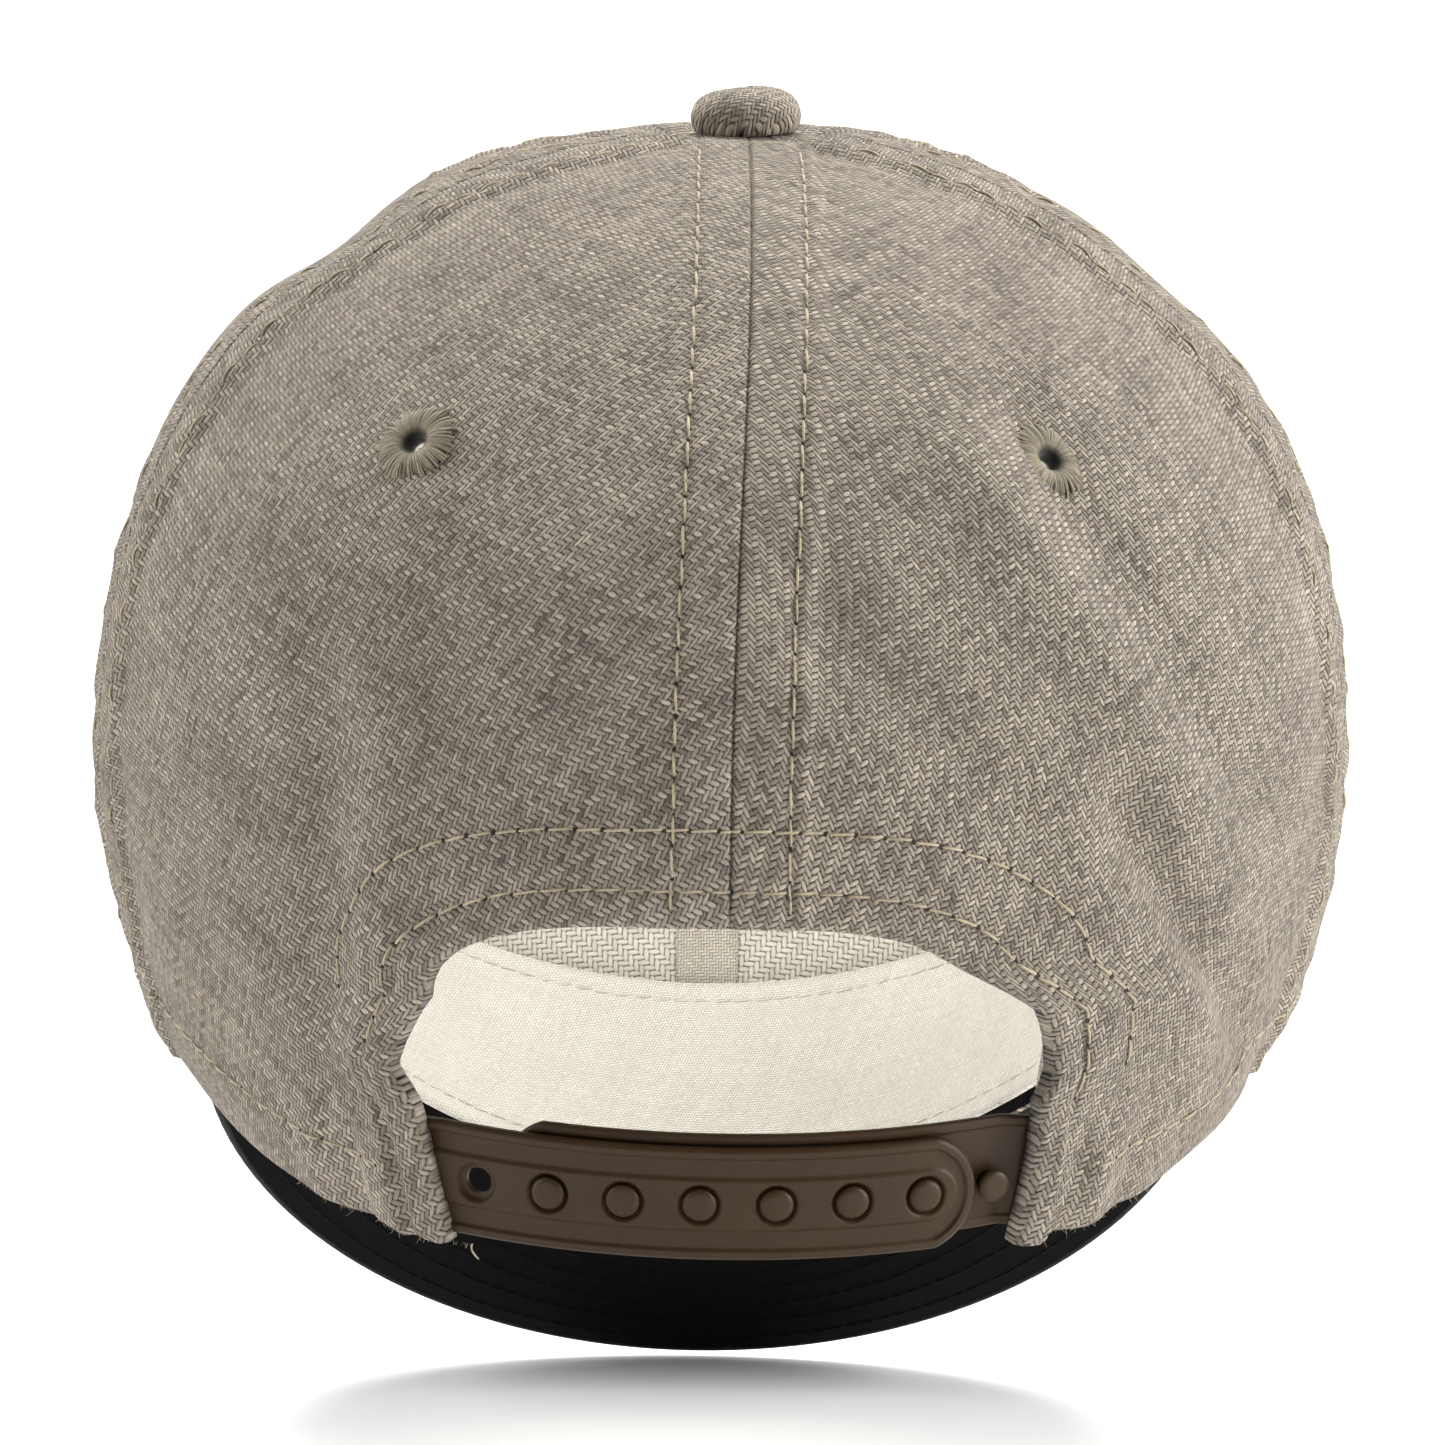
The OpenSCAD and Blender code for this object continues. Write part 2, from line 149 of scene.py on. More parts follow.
def worn(p):
    """The smooth crown as worn: its top leans to the wearer's right and both shoulders sink"""
    x, y, z = p[..., 0] / MM, p[..., 1] / MM, p[..., 2] / MM
    lean = TOP_SHIFT * smooth(z, 60, 148) * (1 - smooth(np.abs(x), 12, 48))
    near = bump_at(y, 0, 60)
    left = 3.1 * MM * bump_at(x, 57, 13) * bump_at(z, 137, 9) * near
    right = 1.4 * MM * bump_at(x, -63, 12) * bump_at(z, 134, 10) * near
    return p + np.stack([-lean - 0.6 * left + 0.6 * right, 0 * x, -0.8 * left - 0.8 * right], -1)


def base_point(azimuth, u):
    return worn(crown_point(azimuth + tab_shift(azimuth, u), u))


def base_normal(azimuth, u):
    v = np.maximum(u, 0.03)
    across = base_point(azimuth + 0.6, v) - base_point(azimuth - 0.6, v)
    down = base_point(azimuth, v + 0.006) - base_point(azimuth, v - 0.006)
    n = np.cross(across, down)
    n /= np.linalg.norm(n, axis=-1, keepdims=True)
    return n


# Azimuths of the seams on the wearer's left; those on the right are their mirror

def back_seam(u):
    return 0 * np.asarray(u)


def face_seam(u):
    return 180 + 0 * np.asarray(u)


def rear_seam(u):
    return 56 + 18 * np.clip(u, 0, 1)


def front_seam(u):
    return 118 + 6 * np.clip(u, 0, 1)


def arch_low(azimuth):
    """Level of the rear opening's edge, or 2 beside it; the wearer's left corner is the squarer one"""
    power = np.where(azimuth > 0, 4.4, 3.2)
    share = np.clip(np.abs(azimuth) / ARCH_HALF, 0, 1)
    return 2 - (2 - ARCH_TOP_U) * (1 - share ** power) ** (1 / power)


SEAMS = {
    "rear_centre": (back_seam, ARCH_TOP_U),
    "rear_left": (rear_seam, 2.0),
    "rear_right": (lambda u: -rear_seam(u), 2.0),
    "front_left": (front_seam, 2.0),
    "front_right": (lambda u: -front_seam(u), 2.0),
    "front_centre": (face_seam, 2.0),
}
PUCKER = {"rear_centre": 0.55, "rear_left": 1.25, "rear_right": 1.25, "front_left": 0.9, "front_right": 0.9,
          "front_centre": 0.5}


def seam_lengths():
    """For each seam, levels and the distance down the seam to each"""
    table = {}
    for name, (azimuth_of, bottom) in SEAMS.items():
        u = np.linspace(TOP_HOLE_U, bottom, 400)
        table[name] = (u, distance_along(crown_point(azimuth_of(u), u)))
    return table


SEAM_LENGTH = seam_lengths()
STITCH_PITCH = 4.0 * MM
ROW_OFFSET = 7.2 * MM
SCALLOP = 1.45


def arch_curve(offset, count, low_phi=0.0):
    """Azimuths and levels along a line that runs round the rear opening at a distance from its edge"""
    phi = np.radians(np.linspace(180 - low_phi, low_phi, 20001))
    power = np.where(np.cos(phi) > 0, 4.4, 3.2)
    widen_a = np.degrees(offset / RIM_BACK)
    widen_u = offset / MID_Z
    ca = np.sign(np.cos(phi)) * np.abs(np.cos(phi)) ** (2 / power)
    su = np.maximum(np.sin(phi), 0) ** (2 / power)
    azimuth, u = ca * (ARCH_HALF + widen_a), 2 - (2 - ARCH_TOP_U + widen_u) * su
    step = np.hypot(np.radians(np.diff(azimuth)) * RIM_BACK, np.diff(u) * MID_Z)
    run = np.concatenate([[0], np.cumsum(step)])
    even = np.linspace(0, run[-1], count)
    return np.interp(even, run, azimuth), np.interp(even, run, u)


ARCH_EDGE = base_point(*arch_curve(0, 360))


def arch_distance(p):
    """Distance of points from the rear opening's edge"""
    flat = p.reshape(-1, 3)
    best = np.full(len(flat), 1.0)
    near = (flat[:, 1] > 50 * MM) & (flat[:, 2] < 80 * MM)
    close = flat[near]
    if len(close):
        d = np.full(len(close), 1.0)
        for start in range(0, len(ARCH_EDGE), 40):
            part = ARCH_EDGE[start:start + 40]
            d = np.minimum(d, np.linalg.norm(close[:, None] - part[None], axis=2).min(1))
        best[near] = d
    return best.reshape(p.shape[:-1])


def seam_relief(distance, along, pucker, seed):
    """Height of the cloth beside one seam: a groove, a raised band, and a stitched-down edge"""
    d, l = distance / MM, along / MM
    stitched = 0.5 + 0.5 * np.cos(2 * np.pi * l / (STITCH_PITCH / MM))
    groove = -0.12 * bump_at(d, 0, 0.25)
    band = (0.45 + 0.5 * pucker) * (1 - smooth(d, 8.2, 10.6)) * (0.4 + 0.6 * smooth(d, 0, 0.5))
    row = -(0.30 + 0.22 * stitched) * bump_at(d, ROW_OFFSET / MM, 0.85)
    waves = np.sin(l / SCALLOP + 0.4 * d + seed) + 0.6 * np.sin(l / 2.7 - 0.35 * d + 2.3 * seed)
    ripple = 0.20 * pucker * waves * bump_at(d, 5.2, 3.6)
    pull = 0.16 * pucker * np.sin(l / 2.1 + seed * 1.7) * bump_at(d, 11.0, 3.4)
    return groove + band + row + ripple + pull


# Creases in the back of the crown: start and end (x, z), half-width, and height, in millimetres
CREASES = (
    ((-30, 101), (-60, 57), 4.5, 1.5), ((-38, 107), (-69, 60), 4.5, -1.6),
    ((-52, 56), (-68, 31), 3.4, -2.9), ((-46, 47), (-60, 31), 4.4, 1.7),
    ((-11, 81), (-35, 59), 4.8, -1.6), ((-3, 72), (-24, 53), 5.2, 1.0),
    ((52, 68), (51, 24), 3.7, -1.6), ((43, 62), (43, 44), 4.5, 0.9),
    ((-60, 33), (-62, 21), 5.5, 1.1), ((34, 98), (36, 70), 5.0, -0.9),
)


# Upright folds in the corner tabs beside the strap: azimuth, height in millimetres, and width in degrees
TAB_FOLDS = (
    (31.5, 0.9, 1.3), (35.0, -0.8, 1.2), (39.5, 0.7, 1.5),
    (-31.0, 0.8, 1.1), (-34.0, -0.9, 1.1), (-37.5, 0.9, 1.3), (-41.5, -0.6, 1.5),
)


def crease(x, z, start, end, width, height):
    """Height of one straight crease, fading past both its ends"""
    (x0, z0), (x1, z1) = start, end
    length = math.hypot(x1 - x0, z1 - z0)
    along = ((x - x0) * (x1 - x0) + (z - z0) * (z1 - z0)) / length
    aside = ((x - x0) * (z1 - z0) - (z - z0) * (x1 - x0)) / length
    past = np.maximum(np.maximum(-along, along - length), 0)
    return height * bump_at(aside, 0, width) * bump_at(past, 0, 7)


def folds(p, azimuth, u):
    """Soft dents and creases of worn cloth, in millimetres"""
    x, y, z = p[..., 0] / MM, p[..., 1] / MM, p[..., 2] / MM
    soft = (0.35 * np.sin(x / 13 + z / 17 + 0.6) * np.sin(z / 11 - y / 19)
            + 0.22 * np.sin(x / 7.3 - z / 9.1 + y / 8.7 + 1.9))
    low = smooth(u, 0.9, 1.5)
    dent = smooth(y, 5, 25) * sum(crease(x, z, *shape) for shape in CREASES)
    tab = 0.0
    for centre, height, width in TAB_FOLDS:
        tab = tab + height * bump_at(azimuth + 1.2 * np.sin(9 * u), centre, width)
    return soft * (0.35 + 0.65 * low) + dent + tab * smooth(u, 1.62, 1.9)


def relief(azimuth, u):
    """Height of the finished cloth over the smooth crown, in metres"""
    azimuth, u = np.broadcast_arrays(np.asarray(azimuth, float), np.asarray(u, float))
    p = base_point(azimuth, u)
    total = np.zeros(azimuth.shape)
    nearest = np.full(azimuth.shape, 1.0)
    for seed, (name, (azimuth_of, bottom)) in enumerate(SEAMS.items()):
        on_seam = base_point(azimuth_of(u), u)
        distance = np.linalg.norm(p - on_seam, axis=-1)
        along = np.interp(u, *SEAM_LENGTH[name])
        closer = distance < nearest
        height = seam_relief(distance, along, PUCKER[name], 1.0 + 1.3 * seed)
        total = np.where(closer, height, total)
        nearest = np.where(closer, distance, nearest)
    from_top = np.linalg.norm((p - base_point(0, 0))[..., :2], axis=-1) / MM
    total = total * (0.25 + 0.75 * smooth(from_top, 9, 22))
    total = total - 0.8 * bump_at(from_top, 11.5, 2.6) + 0.5 * bump_at(from_top, 17, 3.5)
    edge = arch_distance(p) / MM
    hem = 0.55 * (1 - smooth(edge, 12.2, 13.4))
    hem = hem - 0.45 * bump_at(edge, 12.0, 0.8) - 0.40 * bump_at(edge, 4.6, 0.8)
    hem = hem + 0.35 * (1 - smooth(edge, 3.4, 4.6)) - 1.0 * (1 - smooth(edge, 0, 1.1)) ** 2
    hem = hem + 0.14 * np.sin(azimuth * 2.1 + edge * 0.5) * bump_at(edge, 8, 4)
    total = total + hem + folds(p, azimuth, u)
    rim = (2 - u) * (MID_Z - rim_z(azimuth)) / MM
    beside = smooth(np.abs(azimuth), 29, 31)
    total = total + beside * (0.5 * (1 - smooth(rim, 9.0, 10.5)) - 0.35 * bump_at(rim, 8.6, 0.8)
                              - 0.9 * (1 - smooth(rim, 0, 1.0)) ** 2)
    return total * MM


def cloth_point(azimuth, u, depth=0.0):
    """Points of the finished crown cloth's outer face, or at a depth inside it"""
    return base_point(azimuth, u) + (relief(azimuth, u) - depth)[..., None] * base_normal(azimuth, u)


def layer_point(azimuth, u, depth):
    return base_point(azimuth, u) - np.asarray(depth)[..., None] * base_normal(azimuth, u)


# ---- mesh building ----

def add_object(name, data):
    obj = bpy.data.objects.new(name, data)
    bpy.context.scene.collection.objects.link(obj)
    return obj


def new_object(name, vertices, faces, uv=None, shade=True):
    mesh = bpy.data.meshes.new(name)
    mesh.from_pydata(np.asarray(vertices, float).reshape(-1, 3).tolist(), [], faces)
    mesh.polygons.foreach_set("use_smooth", [shade] * len(mesh.polygons))
    if uv is not None:
        layer = mesh.uv_layers.new(name="cloth")
        corner = np.zeros(len(mesh.loops), int)
        mesh.loops.foreach_get("vertex_index", corner)
        layer.data.foreach_set("uv", np.asarray(uv, float)[corner].ravel())
    mesh.update()
    return add_object(name, mesh)


def clean_mesh(obj, weld=False):
    """Drops vertices without a face, or welds those at one place, and turns all faces outwards"""
    bm = bmesh.new()
    bm.from_mesh(obj.data)
    if weld:
        bmesh.ops.remove_doubles(bm, verts=bm.verts, dist=1e-6)
    else:
        bmesh.ops.delete(bm, geom=[v for v in bm.verts if not v.link_faces], context="VERTS")
    bmesh.ops.recalc_face_normals(bm, faces=bm.faces)
    bm.to_mesh(obj.data)
    bm.free()


def grid_quads(rows, columns, keep=None, wrap=False):
    across = columns if wrap else columns - 1
    i, j = np.meshgrid(np.arange(rows - 1), np.arange(across), indexing="ij")
    right = (j + 1) % columns
    upper, lower = i * columns, (i + 1) * columns
    quads = np.stack([upper + j, upper + right, lower + right, lower + j], -1)
    quads = quads.reshape(-1, 4)
    return quads if keep is None else quads[keep.reshape(-1)]


def boundary_edges(quads):
    edges = np.concatenate([quads[:, [k, (k + 1) % 4]] for k in range(4)])
    forward = set(map(tuple, edges.tolist()))
    return [e for e in map(tuple, edges.tolist()) if (e[1], e[0]) not in forward]


def shell(name, outer, inner, uv, keep=None):
    """A closed shell between two grids of points, joined along every open edge"""
    rows, columns = outer.shape[:2]
    n = rows * columns
    quads = grid_quads(rows, columns, keep)
    walls = [(b, a, a + n, b + n) for a, b in boundary_edges(quads)]
    faces = quads.tolist() + (quads[:, ::-1] + n).tolist() + walls
    vertices = np.concatenate([outer.reshape(-1, 3), inner.reshape(-1, 3)])
    uv = np.concatenate([uv.reshape(-1, 2)] * 2)
    obj = new_object(name, vertices, faces, uv)
    clean_mesh(obj)
    return obj


def sweep(name, grid, shade=True):
    """A closed solid from the rings of points along it, with a flat cap at each end"""
    rings, sides = grid.shape[:2]
    faces = grid_quads(rings, sides, wrap=True).tolist()
    faces.append(list(range(sides))[::-1])
    faces.append([(rings - 1) * sides + k for k in range(sides)])
    return new_object(name, grid, faces, shade=shade)


def tubes(name, lines, radius, sides=6, taper=0.0):
    """Many short tubes in one mesh. lines has the shape (tube, ring, 3); taper thins both ends"""
    count, rings = lines.shape[:2]
    tangent = np.gradient(lines, axis=1)
    tangent /= np.linalg.norm(tangent, axis=2, keepdims=True) + 1e-12
    helper = np.where(np.abs(tangent[..., 2:3]) > 0.9, [[[1.0, 0, 0]]], [[[0, 0, 1.0]]])
    side = np.cross(tangent, helper)
    side /= np.linalg.norm(side, axis=2, keepdims=True)
    up = np.cross(side, tangent)
    turn = 2 * np.pi * np.arange(sides) / sides
    radii = np.broadcast_to(np.asarray(radius, float).reshape(-1, 1), (count, rings)).copy()
    radii *= 1 - taper * np.abs(np.linspace(-1, 1, rings))[None] ** 3
    ring = (np.cos(turn)[:, None] * side[:, :, None] + np.sin(turn)[:, None] * up[:, :, None])
    points = lines[:, :, None] + radii[:, :, None, None] * ring
    per = rings * sides
    body = grid_quads(rings, sides, wrap=True)
    faces = (body[None] + per * np.arange(count)[:, None, None]).reshape(-1, 4).tolist()
    for k in range(count):
        faces.append([k * per + s for s in range(sides)][::-1])
        faces.append([k * per + per - sides + s for s in range(sides)])
    obj = new_object(name, points, faces)
    for polygon in list(obj.data.polygons)[len(body) * count:]:
        polygon.use_smooth = False
    return obj


def revolve(name, profile, segments, place, ripple=None):
    """A solid turned from an (r, z) profile whose two ends lie on the axis or meet"""
    turn = 2 * np.pi * np.arange(segments) / segments
    r, z = profile[:, 0], profile[:, 1]
    grid = np.stack([r[:, None] * np.cos(turn), r[:, None] * np.sin(turn), z[:, None] + 0 * turn], -1)
    if ripple is not None:
        grid = ripple(grid, r, z, turn)
    quads = grid_quads(len(r), segments, wrap=True)[:, ::-1]
    obj = new_object(name, grid, quads.tolist())
    clean_mesh(obj, weld=True)
    obj.data.polygons.foreach_set("use_smooth", [True] * len(obj.data.polygons))
    obj.data.transform(place)
    return obj


def finish_piece(obj, material, body="cap", nodes=()):
    obj.data.materials.append(material)
    if nodes:
        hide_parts(*nodes)
    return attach(obj, body)


# ---- materials ----

class Graph:
    """A short way to write a material's nodes"""

    def __init__(self, name):
        self.material = bpy.data.materials.new(name)
        self.material.use_nodes = True
        self.tree = self.material.node_tree
        self.shader = self.tree.nodes["Principled BSDF"]

    def node(self, kind, **settings):
        node = self.tree.nodes.new(kind)
        for key, value in settings.items():
            setattr(node, key, value)
        return node

    def put(self, socket, value):
        if isinstance(value, bpy.types.NodeSocket):
            self.tree.links.new(value, socket)
        else:
            socket.default_value = value

    def math(self, operation, *values):
        node = self.node("ShaderNodeMath", operation=operation)
        for socket, value in zip(node.inputs, values):
            self.put(socket, value)
        return node.outputs[0]

    def vector(self, operation, *values):
        node = self.node("ShaderNodeVectorMath", operation=operation)
        for socket, value in zip(node.inputs, values):
            self.put(socket, value)
        return node.outputs["Value" if operation in ("LENGTH", "DOT_PRODUCT") else "Vector"]

    def combine(self, x, y, z=0.0):
        node = self.node("ShaderNodeCombineXYZ")
        for socket, value in zip(node.inputs, (x, y, z)):
            self.put(socket, value)
        return node.outputs[0]

    def noise(self, vector, scale, detail=2.0, roughness=0.5):
        node = self.node("ShaderNodeTexNoise")
        self.put(node.inputs["Vector"], vector)
        node.inputs["Scale"].default_value = scale
        node.inputs["Detail"].default_value = detail
        node.inputs["Roughness"].default_value = roughness
        return node.outputs["Fac"]

    def mix(self, share, a, b):
        node = self.node("ShaderNodeMix", data_type="RGBA")
        self.put(node.inputs[0], share)
        self.put(node.inputs[6], a)
        self.put(node.inputs[7], b)
        return node.outputs[2]

    def choose(self, share, a, b):
        node = self.node("ShaderNodeMix", data_type="FLOAT")
        self.put(node.inputs[0], share)
        self.put(node.inputs[2], a)
        self.put(node.inputs[3], b)
        return node.outputs[0]

    def range(self, value, low, high, to_low=0.0, to_high=1.0):
        node = self.node("ShaderNodeMapRange")
        for key, number in (("From Min", low), ("From Max", high), ("To Min", to_low), ("To Max", to_high)):
            node.inputs[key].default_value = number
        self.put(node.inputs["Value"], value)
        return node.outputs[0]

    def bump(self, height, distance, strength=1.0, normal=None):
        node = self.node("ShaderNodeBump")
        node.inputs["Distance"].default_value = distance
        node.inputs["Strength"].default_value = strength
        self.put(node.inputs["Height"], height)
        if normal is not None:
            self.put(node.inputs["Normal"], normal)
        return node.outputs[0]

    def set(self, **sockets):
        for key, value in sockets.items():
            self.put(self.shader.inputs[key.replace("_", " ")], value)


def linear(r, g, b):
    """A colour given as 0 to 255 screen values, as the shader's linear values"""
    def one(v):
        v /= 255
        return v / 12.92 if v <= 0.04045 else ((v + 0.055) / 1.055) ** 2.4
    return (one(r), one(g), one(b), 1.0)


FLOAT_REACH = 4.0       # yarns from one float of a two-and-two twill to the next on the same yarn
YARN_TONE, FLOAT_TONE, STREAK_TONE, PATCH_TONE, WEFT_TONE = 0.16, 0.18, 0.75, 0.30, 0.04
FLECKED = 0.968         # share of the floats that stay free of dark flecks


def twill(name, pitch, light, dark, gap, fleck=None, source="UV", wobble=1.0, bump=0.3,
          roughness=0.9, sheen=0.2, specular=0.2):
    """A two-and-two twill. pitch is the spacing of the warp yarns and of the weft yarns; gap is painted
    shade, the colour that the low places between the floats turn to
    """
    g = Graph(name)
    where = g.node("ShaderNodeTexCoord").outputs[source]
    split = g.node("ShaderNodeSeparateXYZ")
    g.put(split.inputs[0], where)
    slow = g.noise(where, 0.012 / pitch[0], 2.0)
    fast = g.noise(g.vector("ADD", where, (0.31, 0.17, 0.23)), 0.22 / pitch[0], 1.0)
    drift = g.math("MULTIPLY", g.math("SUBTRACT", slow, 0.5), 5.0 * wobble)
    jitter = g.math("MULTIPLY", g.math("SUBTRACT", fast, 0.5), 0.35 * wobble)
    x = g.math("ADD", g.math("ADD", g.math("DIVIDE", split.outputs[0], pitch[0]), drift), jitter)
    y = g.math("SUBTRACT", g.math("ADD", g.math("DIVIDE", split.outputs[1], pitch[1]), drift), jitter)
    i, j = g.math("FLOOR", x), g.math("FLOOR", y)

    def strand(along, row, across, half_length, half_width):
        """A grain-shaped float, its place along its yarn, and its number"""
        shifted = g.math("DIVIDE", g.math("SUBTRACT", along, row), FLOAT_REACH)
        number = g.math("FLOOR", shifted)
        share = g.math("SUBTRACT", g.math("SUBTRACT", shifted, number), 0.5)
        from_middle = g.math("MULTIPLY", share, FLOAT_REACH)
        ends = g.math("POWER", g.math("ABSOLUTE", g.math("DIVIDE", from_middle, half_length)), 2.4)
        offset = g.math("DIVIDE", g.math("SUBTRACT", g.math("FRACT", across), 0.5), half_width)
        sides = g.math("POWER", g.math("ABSOLUTE", offset), 2.0)
        left = g.math("SUBTRACT", g.math("SUBTRACT", 1.0, ends), sides)
        return g.math("SQRT", g.math("MAXIMUM", left, 0.0)), number

    weft_height, weft_number = strand(g.math("ADD", x, 1.0), j, y, 1.34, 0.50)
    warp_height, warp_number = strand(y, i, x, 1.36, 0.54)
    warp_height = g.math("MULTIPLY", warp_height, 0.97)
    weft = g.math("GREATER_THAN", weft_height, warp_height)
    height = g.math("MAXIMUM", weft_height, warp_height)
    yarn = g.choose(weft, g.math("ADD", i, 1000.5), g.math("ADD", j, 0.37))
    number = g.choose(weft, warp_number, g.math("ADD", weft_number, 0.5))
    cell = g.node("ShaderNodeTexWhiteNoise", noise_dimensions="3D")
    g.put(cell.inputs["Vector"], g.combine(yarn, number, 3.0))
    by_yarn = g.node("ShaderNodeTexWhiteNoise", noise_dimensions="1D")
    g.put(by_yarn.inputs["W"], yarn)
    along, across = g.choose(weft, y, x), g.choose(weft, x, y)
    twisted = g.math("ADD", g.math("MULTIPLY", across, 9.0), g.math("MULTIPLY", along, 2.2))
    streak = g.noise(g.combine(g.math("MULTIPLY", along, 1.1), twisted, yarn), 1.4, 3.0, 0.7)
    patch = g.noise(where, 0.04 / pitch[0], 3.0, 0.6)
    tone = g.math("MULTIPLY", by_yarn.outputs["Value"], YARN_TONE)
    for part, weight in ((cell.outputs["Value"], FLOAT_TONE), (streak, STREAK_TONE), (patch, PATCH_TONE),
                         (weft, WEFT_TONE)):
        tone = g.math("ADD", tone, g.math("MULTIPLY", part, weight))
    colour = g.mix(g.range(tone, 0.46, 1.04), dark, light)
    if fleck is not None:
        flecked = g.math("GREATER_THAN", cell.outputs["Value"], FLECKED)
        chosen = g.math("MULTIPLY", flecked, g.range(streak, 0.3, 0.6))
        colour = g.mix(g.math("MULTIPLY", chosen, 0.7), colour, fleck)
    # Painted shade: the colour turns to gap where the floats are low, in the hollows between the yarns
    colour = g.mix(g.range(height, 0.18, 0.84), gap, colour)
    relief_height = g.math("ADD", height, g.math("MULTIPLY", streak, 0.4))
    normal = g.bump(relief_height, pitch[0] * bump)
    g.set(Base_Color=colour, Roughness=roughness, Normal=normal, Sheen_Weight=sheen, Sheen_Roughness=0.6,
          Specular_IOR_Level=specular)
    return g.material


FINE_BUMP = 0.08 * MM


def thread_material(name, light, dark, sheen=0.3, specular=0.3):
    g = Graph(name)
    where = g.node("ShaderNodeTexCoord").outputs["Object"]
    fine = g.noise(where, 5200, 2.0, 0.6)
    broad = g.noise(where, 420, 2.0)
    tone = g.range(g.math("ADD", g.math("MULTIPLY", fine, 0.6), g.math("MULTIPLY", broad, 0.5)), 0.35, 0.75)
    g.set(Base_Color=g.mix(tone, dark, light), Roughness=0.72, Sheen_Weight=sheen,
          Normal=g.bump(fine, FINE_BUMP), Specular_IOR_Level=specular)
    return g.material


def radial_thread(name, light, dark, gap):
    """Satin stitches side by side: the first map coordinate counts the threads, the second runs along them;
    gap is painted shade between the threads and down in the eyelet's hole
    """
    g = Graph(name)
    where = g.node("ShaderNodeTexCoord")
    split = g.node("ShaderNodeSeparateXYZ")
    g.put(split.inputs[0], where.outputs["UV"])
    count = g.math("FLOOR", split.outputs[0])
    each = g.node("ShaderNodeTexWhiteNoise", noise_dimensions="1D")
    g.put(each.inputs["W"], count)
    side = g.math("ABSOLUTE", g.math("SUBTRACT", g.math("FRACT", split.outputs[0]), 0.5))
    across, along = g.math("MULTIPLY", split.outputs[0], 3.0), g.math("MULTIPLY", split.outputs[1], 700.0)
    drawn_out = g.combine(across, along)
    fine = g.noise(drawn_out, 1.6, 3.0, 0.7)
    tone = g.math("ADD", g.math("MULTIPLY", each.outputs["Value"], 0.35), g.math("MULTIPLY", fine, 0.9))
    colour = g.mix(g.range(tone, 0.3, 0.95), dark, light)
    # Painted shade: the colour turns to gap between neighbouring threads, and inside the hole within 1.5 to
    # 2.2 mm of the middle
    colour = g.mix(g.range(side, 0.30, 0.5), colour, gap)
    colour = g.mix(g.range(split.outputs[1], 1.5 * MM, 2.2 * MM), gap, colour)
    g.set(Base_Color=colour, Roughness=0.7, Sheen_Weight=0.3, Normal=g.bump(fine, FINE_BUMP),
          Specular_IOR_Level=0.3)
    return g.material


def plastic(name, light, dark, roughness=0.46, grain=0.00002):
    """Moulded plastic: an even tone with faint flow marks, a fine matt grain and faint blotches of dust"""
    g = Graph(name)
    where = g.node("ShaderNodeTexCoord").outputs["Object"]
    flow = g.noise(where, 60, 4.0, 0.55)
    fine = g.noise(where, 2600, 3.0, 0.6)
    dust = g.noise(where, 900, 3.0, 0.7)
    tone = g.range(g.math("ADD", g.math("MULTIPLY", flow, 0.6), g.math("MULTIPLY", dust, 0.4)), 0.3, 0.7)
    g.set(Base_Color=g.mix(tone, dark, light),
          Roughness=g.range(flow, 0.3, 0.7, roughness - 0.05, roughness + 0.07),
          Normal=g.bump(fine, grain), Specular_IOR_Level=0.26)
    return g.material


def brushed_metal(name):
    """Thin tinplate with fine lines drawn along it"""
    g = Graph(name)
    where = g.node("ShaderNodeTexCoord").outputs["Object"]
    lines = g.noise(g.vector("MULTIPLY", where, (1.0, 1.0, 14.0)), 500, 3.0)
    g.set(Base_Color=g.mix(lines, linear(140, 140, 142), linear(190, 190, 190)), Metallic=1.0,
          Roughness=g.range(lines, 0.2, 0.8, 0.28, 0.45), Normal=g.bump(lines, 0.00001))
    return g.material


def foam_material(name, light, dark):
    """Open foam: pale cell walls round darker cells"""
    g = Graph(name)
    where = g.node("ShaderNodeTexCoord").outputs["Object"]
    cells = g.node("ShaderNodeTexVoronoi")
    g.put(cells.inputs["Vector"], where)
    cells.inputs["Scale"].default_value = 2600
    tone = g.range(cells.outputs["Distance"], 0.1, 0.7)
    g.set(Base_Color=g.mix(tone, dark, light), Roughness=0.95,
          Normal=g.bump(cells.outputs["Distance"], 0.0001))
    return g.material


# The last colour given to each twill is its painted shade between the floats
FABRIC = twill("heather_twill", (0.53 * MM, 0.70 * MM), linear(240, 225, 202), linear(85, 72, 56),
               linear(12, 9, 7), fleck=linear(92, 64, 42), bump=1.3)
COTTON = twill("natural_cotton_twill", (0.4 * MM, 0.44 * MM), linear(238, 234, 224), linear(208, 202, 188),
               linear(150, 143, 128), bump=0.3, roughness=0.85)
TAPE = twill("cotton_tape", (0.5 * MM, 0.5 * MM), linear(214, 208, 194), linear(168, 160, 143),
             linear(100, 92, 80))
VISOR_CLOTH = twill("black_cloth", (0.3 * MM, 0.3 * MM), linear(17, 16, 17), linear(12, 11, 12),
                    linear(8, 7, 8), source="Object", bump=0.1, roughness=0.85, sheen=0.0, wobble=0.4,
                    specular=0.04)
VISOR_TOP = twill("black_visor_top", (0.5 * MM, 0.5 * MM), linear(38, 37, 38), linear(22, 21, 22),
                  linear(7, 6, 7), source="Object", bump=0.4, roughness=0.8, sheen=0.03, wobble=0.4,
                  specular=0.12)
BINDING = twill("black_binding", (0.45 * MM, 0.45 * MM), linear(20, 19, 20), linear(11, 10, 11),
                linear(5, 5, 5), source="Object", bump=0.2, roughness=0.7, sheen=0.04)
